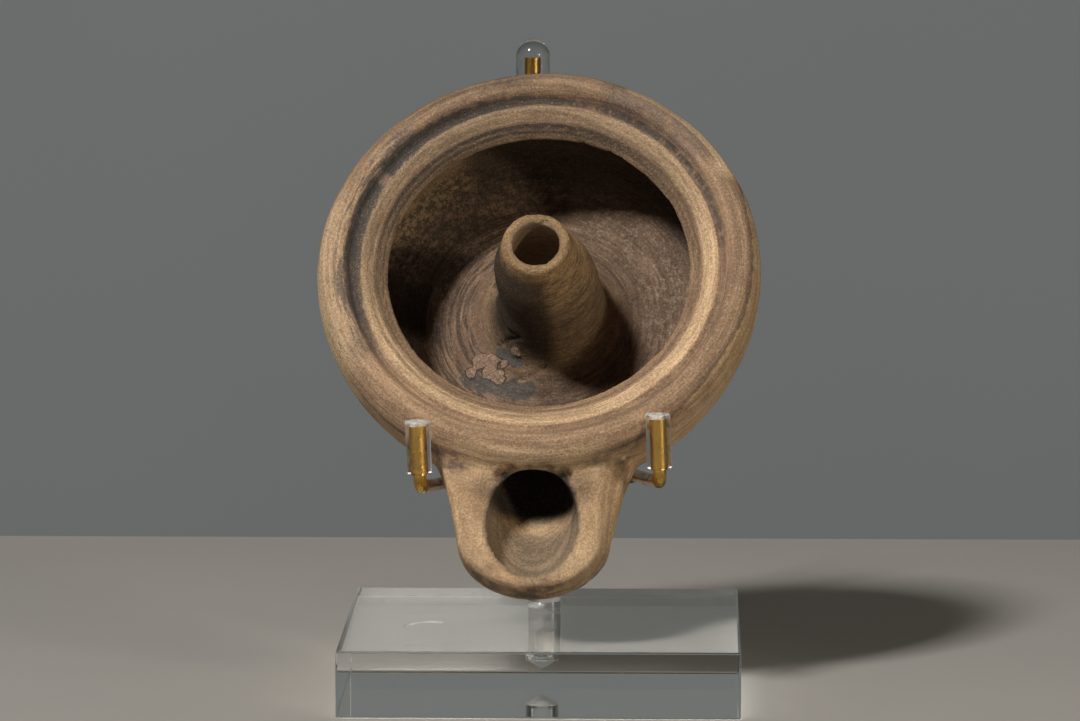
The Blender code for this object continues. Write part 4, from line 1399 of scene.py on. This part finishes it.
        # painted shade: the shade side of the socket cone, at its lower left
        self.lay(self.patchy("socket_stain", self.patch, 0.1, 0.42), (0.038, 0.022, 0.011), 0.92)
        rings = self.patchy("dark_rings", streaks, 0.47, 0.56)
        self.lay(rings, (0.075, 0.05, 0.036), 0.8)
        self.lay(self.patchy("inside", self.patch, 0.6, 0.72), (0.09, 0.06, 0.042), 0.6)
        lime = self.finish.noise(self.place, 0.8, 6.0, 0.78)
        crust = self.patchy("crust", lime, 0.5, 0.56) * fade(self.grit, 0.36, 0.52)
        self.lay(crust, (0.36, 0.268, 0.19), 0.6)
        self.lay(self.patchy("netted", lime, 0.47, 0.53), (0.02, 0.014, 0.01), 0.75)
        stain = fade(self.field("grey_stain") + (self.patch - 0.5) * 1.4, 0.12, 0.32)
        self.lay(stain, (0.085, 0.082, 0.078), 0.85)
        flake = self.field("flake")
        self.lay(fade(flake, 0.12, 0.22), (0.05, 0.036, 0.03), 0.85)
        flake_colour = mix(fade(self.grit, 0.35, 0.65), (0.44, 0.3, 0.21), (0.23, 0.15, 0.1))
        self.lay(fade(flake, 0.25, 0.31), flake_colour, 0.97)
        crack = 1.0 - fade(self.field("crack") + (self.grit - 0.5) * 0.7, 0.3, 0.65)
        self.lay(crack, (0.02, 0.013, 0.01), 0.95)
        line = 1.0 - fade(self.field("socket_line") + (self.patch - 0.5) * 0.8, 0.1, 0.5)
        self.lay(line * self.field("inside"), (0.06, 0.042, 0.03), 0.8)
        # painted shade: the top and left of the inside wall, near black where the rim's shadow falls
        self.lay(self.field("wall_soot"), (0.045, 0.028, 0.018), 0.85)
        self.lay(self.field("cut_hole"), mix(self.patch, (0.31, 0.228, 0.147), (0.225, 0.163, 0.105)), 0.9)
        # painted shade: near black in the wick passage and the upper part of the wick hole
        self.lay(self.field("hole_soot"), (0.012, 0.008, 0.006), 0.95)
        self.lay(self.field("bore"), (0.3, 0.2, 0.12), 0.8)

    def grains(self):
        fade, mix = self.finish.fade, self.finish.mix
        fine = self.finish.noise(self.place, 2.2, 4.0, 0.8)
        coarse = self.finish.noise(self.finish.stretched(self.wheel, (1.0, 0.35, 0.35)), 0.9, 6.0, 0.8)
        sand = mix(fade(fine * 0.5 + coarse * 0.5, 0.42, 0.6), (0.56, 0.54, 0.52), (1.25, 1.25, 1.25))
        self.colour = mix(0.9, self.colour, sand, "MULTIPLY")
        self.lay(fade(self.grit, 0.6, 0.7), (0.66, 0.52, 0.38), 0.3)
        self.lay(fade(self.speck, 0.64, 0.7), (0.09, 0.06, 0.042), 0.65)
        self.lay(1.0 - fade(self.speck, 0.27, 0.34), (0.75, 0.64, 0.5), 0.4)

    def relief(self):
        """Sand grains, turning lines and pits, finer than the mesh."""
        finish = self.finish
        sandy = finish.bump(self.grit, 0.8, 0.3 * MM)
        turned = finish.bump(self.fine_turning * self.field("turned"), 0.4, 0.25 * MM, sandy)
        pitted = finish.fade(finish.noise(self.place, 1.5, 3.0, 0.6), 0.64, 0.72)
        return finish.bump(pitted * -1.0 + self.patch * 0.5, 0.35, 0.2 * MM, turned)


def paint_clay(finish):
    layers = ClayColour(finish)
    layers.body()
    layers.outside()
    layers.in_the_bowl()
    layers.grains()
    smoother = finish.fade(layers.patch, 0.35, 0.7) * 0.13 + layers.field("paint_strength") * 0.08
    finish.surface(Base_Color=layers.colour, Roughness=0.93 - smoother, Normal=layers.relief())


def shaped_lamp(clay):
    """The lamp's mesh in its pose, with everything that the shader reads kept on it."""
    mesh = thrown_mesh(clay)
    surface = ClaySurface(mesh)
    profile = turned_profile()
    turned, along = true_up(surface, profile)
    find_regions(surface, profile, turned, along)
    lean_socket(surface)
    surface.press(wear(surface))
    for work in (bands, slips, bowl_inside, keep_places):
        work(surface)
    surface.write()
    mesh.transform(lamp_pose())
    return mesh


clay = Finish("fired_clay")
lamp_mesh = shaped_lamp(clay)
paint_clay(clay)
add_piece("clay_lamp", lamp_mesh, clay, "lamp")


# ---------------------------------------------------------------------------
# Studio
# A pale table top, with grey paper hung well behind it. A small key light is at
# the upper left, and a warm lamp and a tall dim strip are on the right. The
# camera stands a little above the object.
# ---------------------------------------------------------------------------
CAMERA_PLACE = Vector((26.43, -1120.725, 198.396)) * MM
CAMERA_DOWN = math.radians(6.8753)
CAMERA_TURN = math.radians(1.3789)
CAMERA_LENS = 195.05
LIGHT_BOUNCES = 24
TABLE_END = 0.19
TABLE_HALF = 4.0
TABLE_DROP = 0.15 * MM    # the table lies this far below the block, so that their faces don't meet
BACKDROP_PLACE = (0.0, 1.75, 0.7)
LOOK_AT = Vector((0.0, 0.0, 0.07))
LIGHTS = (    # name, place, width and height, watts, colour
    ("key", (-0.564, -0.835, 1.11), (0.2, 0.2), 20.2, (1.0, 0.97, 0.93)),
    ("side", (0.65, -0.59, 0.26), (0.1, 0.1), 2.0, (1.0, 0.88, 0.68)),
    ("strip", (0.75, -0.35, 0.25), (0.05, 0.9), 0.7, (1.0, 0.98, 0.95)),
)


def add_sheet(name, pose, half_sizes, paper, tone, colours):
    """A flat sheet in a pose, mottled between two colours."""
    shape = bmesh.new()
    bmesh.ops.create_grid(shape, x_segments=1, y_segments=1, size=1.0)
    pose = pose @ Matrix.Diagonal((*half_sizes, 1.0, 1.0))
    bmesh.ops.transform(shape, matrix=pose, verts=shape.verts)
    sheet = worker_object(mesh_of(shape, name))
    paper.surface(Base_Color=paper.mix(tone, *colours))
    sheet.data.materials.append(paper.material)


def add_table():
    """The pale table top, which ends a hand's width behind the object."""
    paper = Finish("pale_floor", Roughness=0.9)
    tone = paper.noise(paper.place(), 9.0, 3.0)
    pose = Matrix.Translation((0.0, TABLE_END - TABLE_HALF, -TABLE_DROP))
    colours = ((0.31, 0.295, 0.275), (0.36, 0.343, 0.32))
    add_sheet("floor", pose, (TABLE_HALF, TABLE_HALF), paper, tone, colours)


def add_backdrop():
    """The grey paper hangs far enough away that the object can be looked at from the back too."""
    paper = Finish("grey_paper", Roughness=0.95)
    tone = paper.noise(paper.place(), 3.0, 2.0)
    pose = Matrix.Translation(BACKDROP_PLACE) @ Matrix.Rotation(math.radians(90), 4, "X")
    colours = ((0.53, 0.585, 0.605), (0.585, 0.648, 0.668))
    add_sheet("backdrop", pose, (4.0, 2.2), paper, tone, colours)


def add_light(name, place, size, energy, colour):
    light = bpy.data.lights.new(name, "AREA")
    light.shape = "RECTANGLE"
    light.size, light.size_y = size
    light.energy = energy
    light.color = colour
    lamp = bpy.data.objects.new(name, light)
    lamp.location = place
    lamp.rotation_euler = (LOOK_AT - Vector(place)).to_track_quat("-Z", "Y").to_euler()
    bpy.context.scene.collection.objects.link(lamp)


def add_surround(colour, strength):
    world = bpy.data.worlds.new("surround")
    world.use_nodes = True
    surround = world.node_tree.nodes["Background"]
    surround.inputs["Color"].default_value = (*colour, 1.0)
    surround.inputs["Strength"].default_value = strength
    bpy.context.scene.world = world


def allow_bounces(count):
    """Light that is caught inside the clear block leaves it only after many reflections."""
    bounces = bpy.context.scene.cycles
    bounces.max_bounces = count
    bounces.glossy_bounces = count
    bounces.transmission_bounces = count


def add_camera():
    down, turn = CAMERA_DOWN, CAMERA_TURN
    right = Vector((math.cos(turn), math.sin(turn), 0.0))
    ahead = Vector((-math.sin(turn) * math.cos(down), math.cos(turn) * math.cos(down), -math.sin(down)))
    pose = Matrix((right, right.cross(ahead), -ahead)).transposed().to_4x4()
    pose.translation = CAMERA_PLACE
    camera = bpy.data.objects.new("camera", bpy.data.cameras.new("camera"))
    camera.data.sensor_width = 36.0
    camera.data.lens = CAMERA_LENS
    camera.data.clip_start = 0.01
    camera.matrix_world = pose
    bpy.context.scene.collection.objects.link(camera)
    bpy.context.scene.camera = camera


add_table()
add_backdrop()
for light in LIGHTS:
    add_light(*light)
add_surround((0.02, 0.021, 0.021), 1.0)
allow_bounces(LIGHT_BOUNCES)
bpy.context.scene.view_settings.view_transform = "Standard"
add_camera()
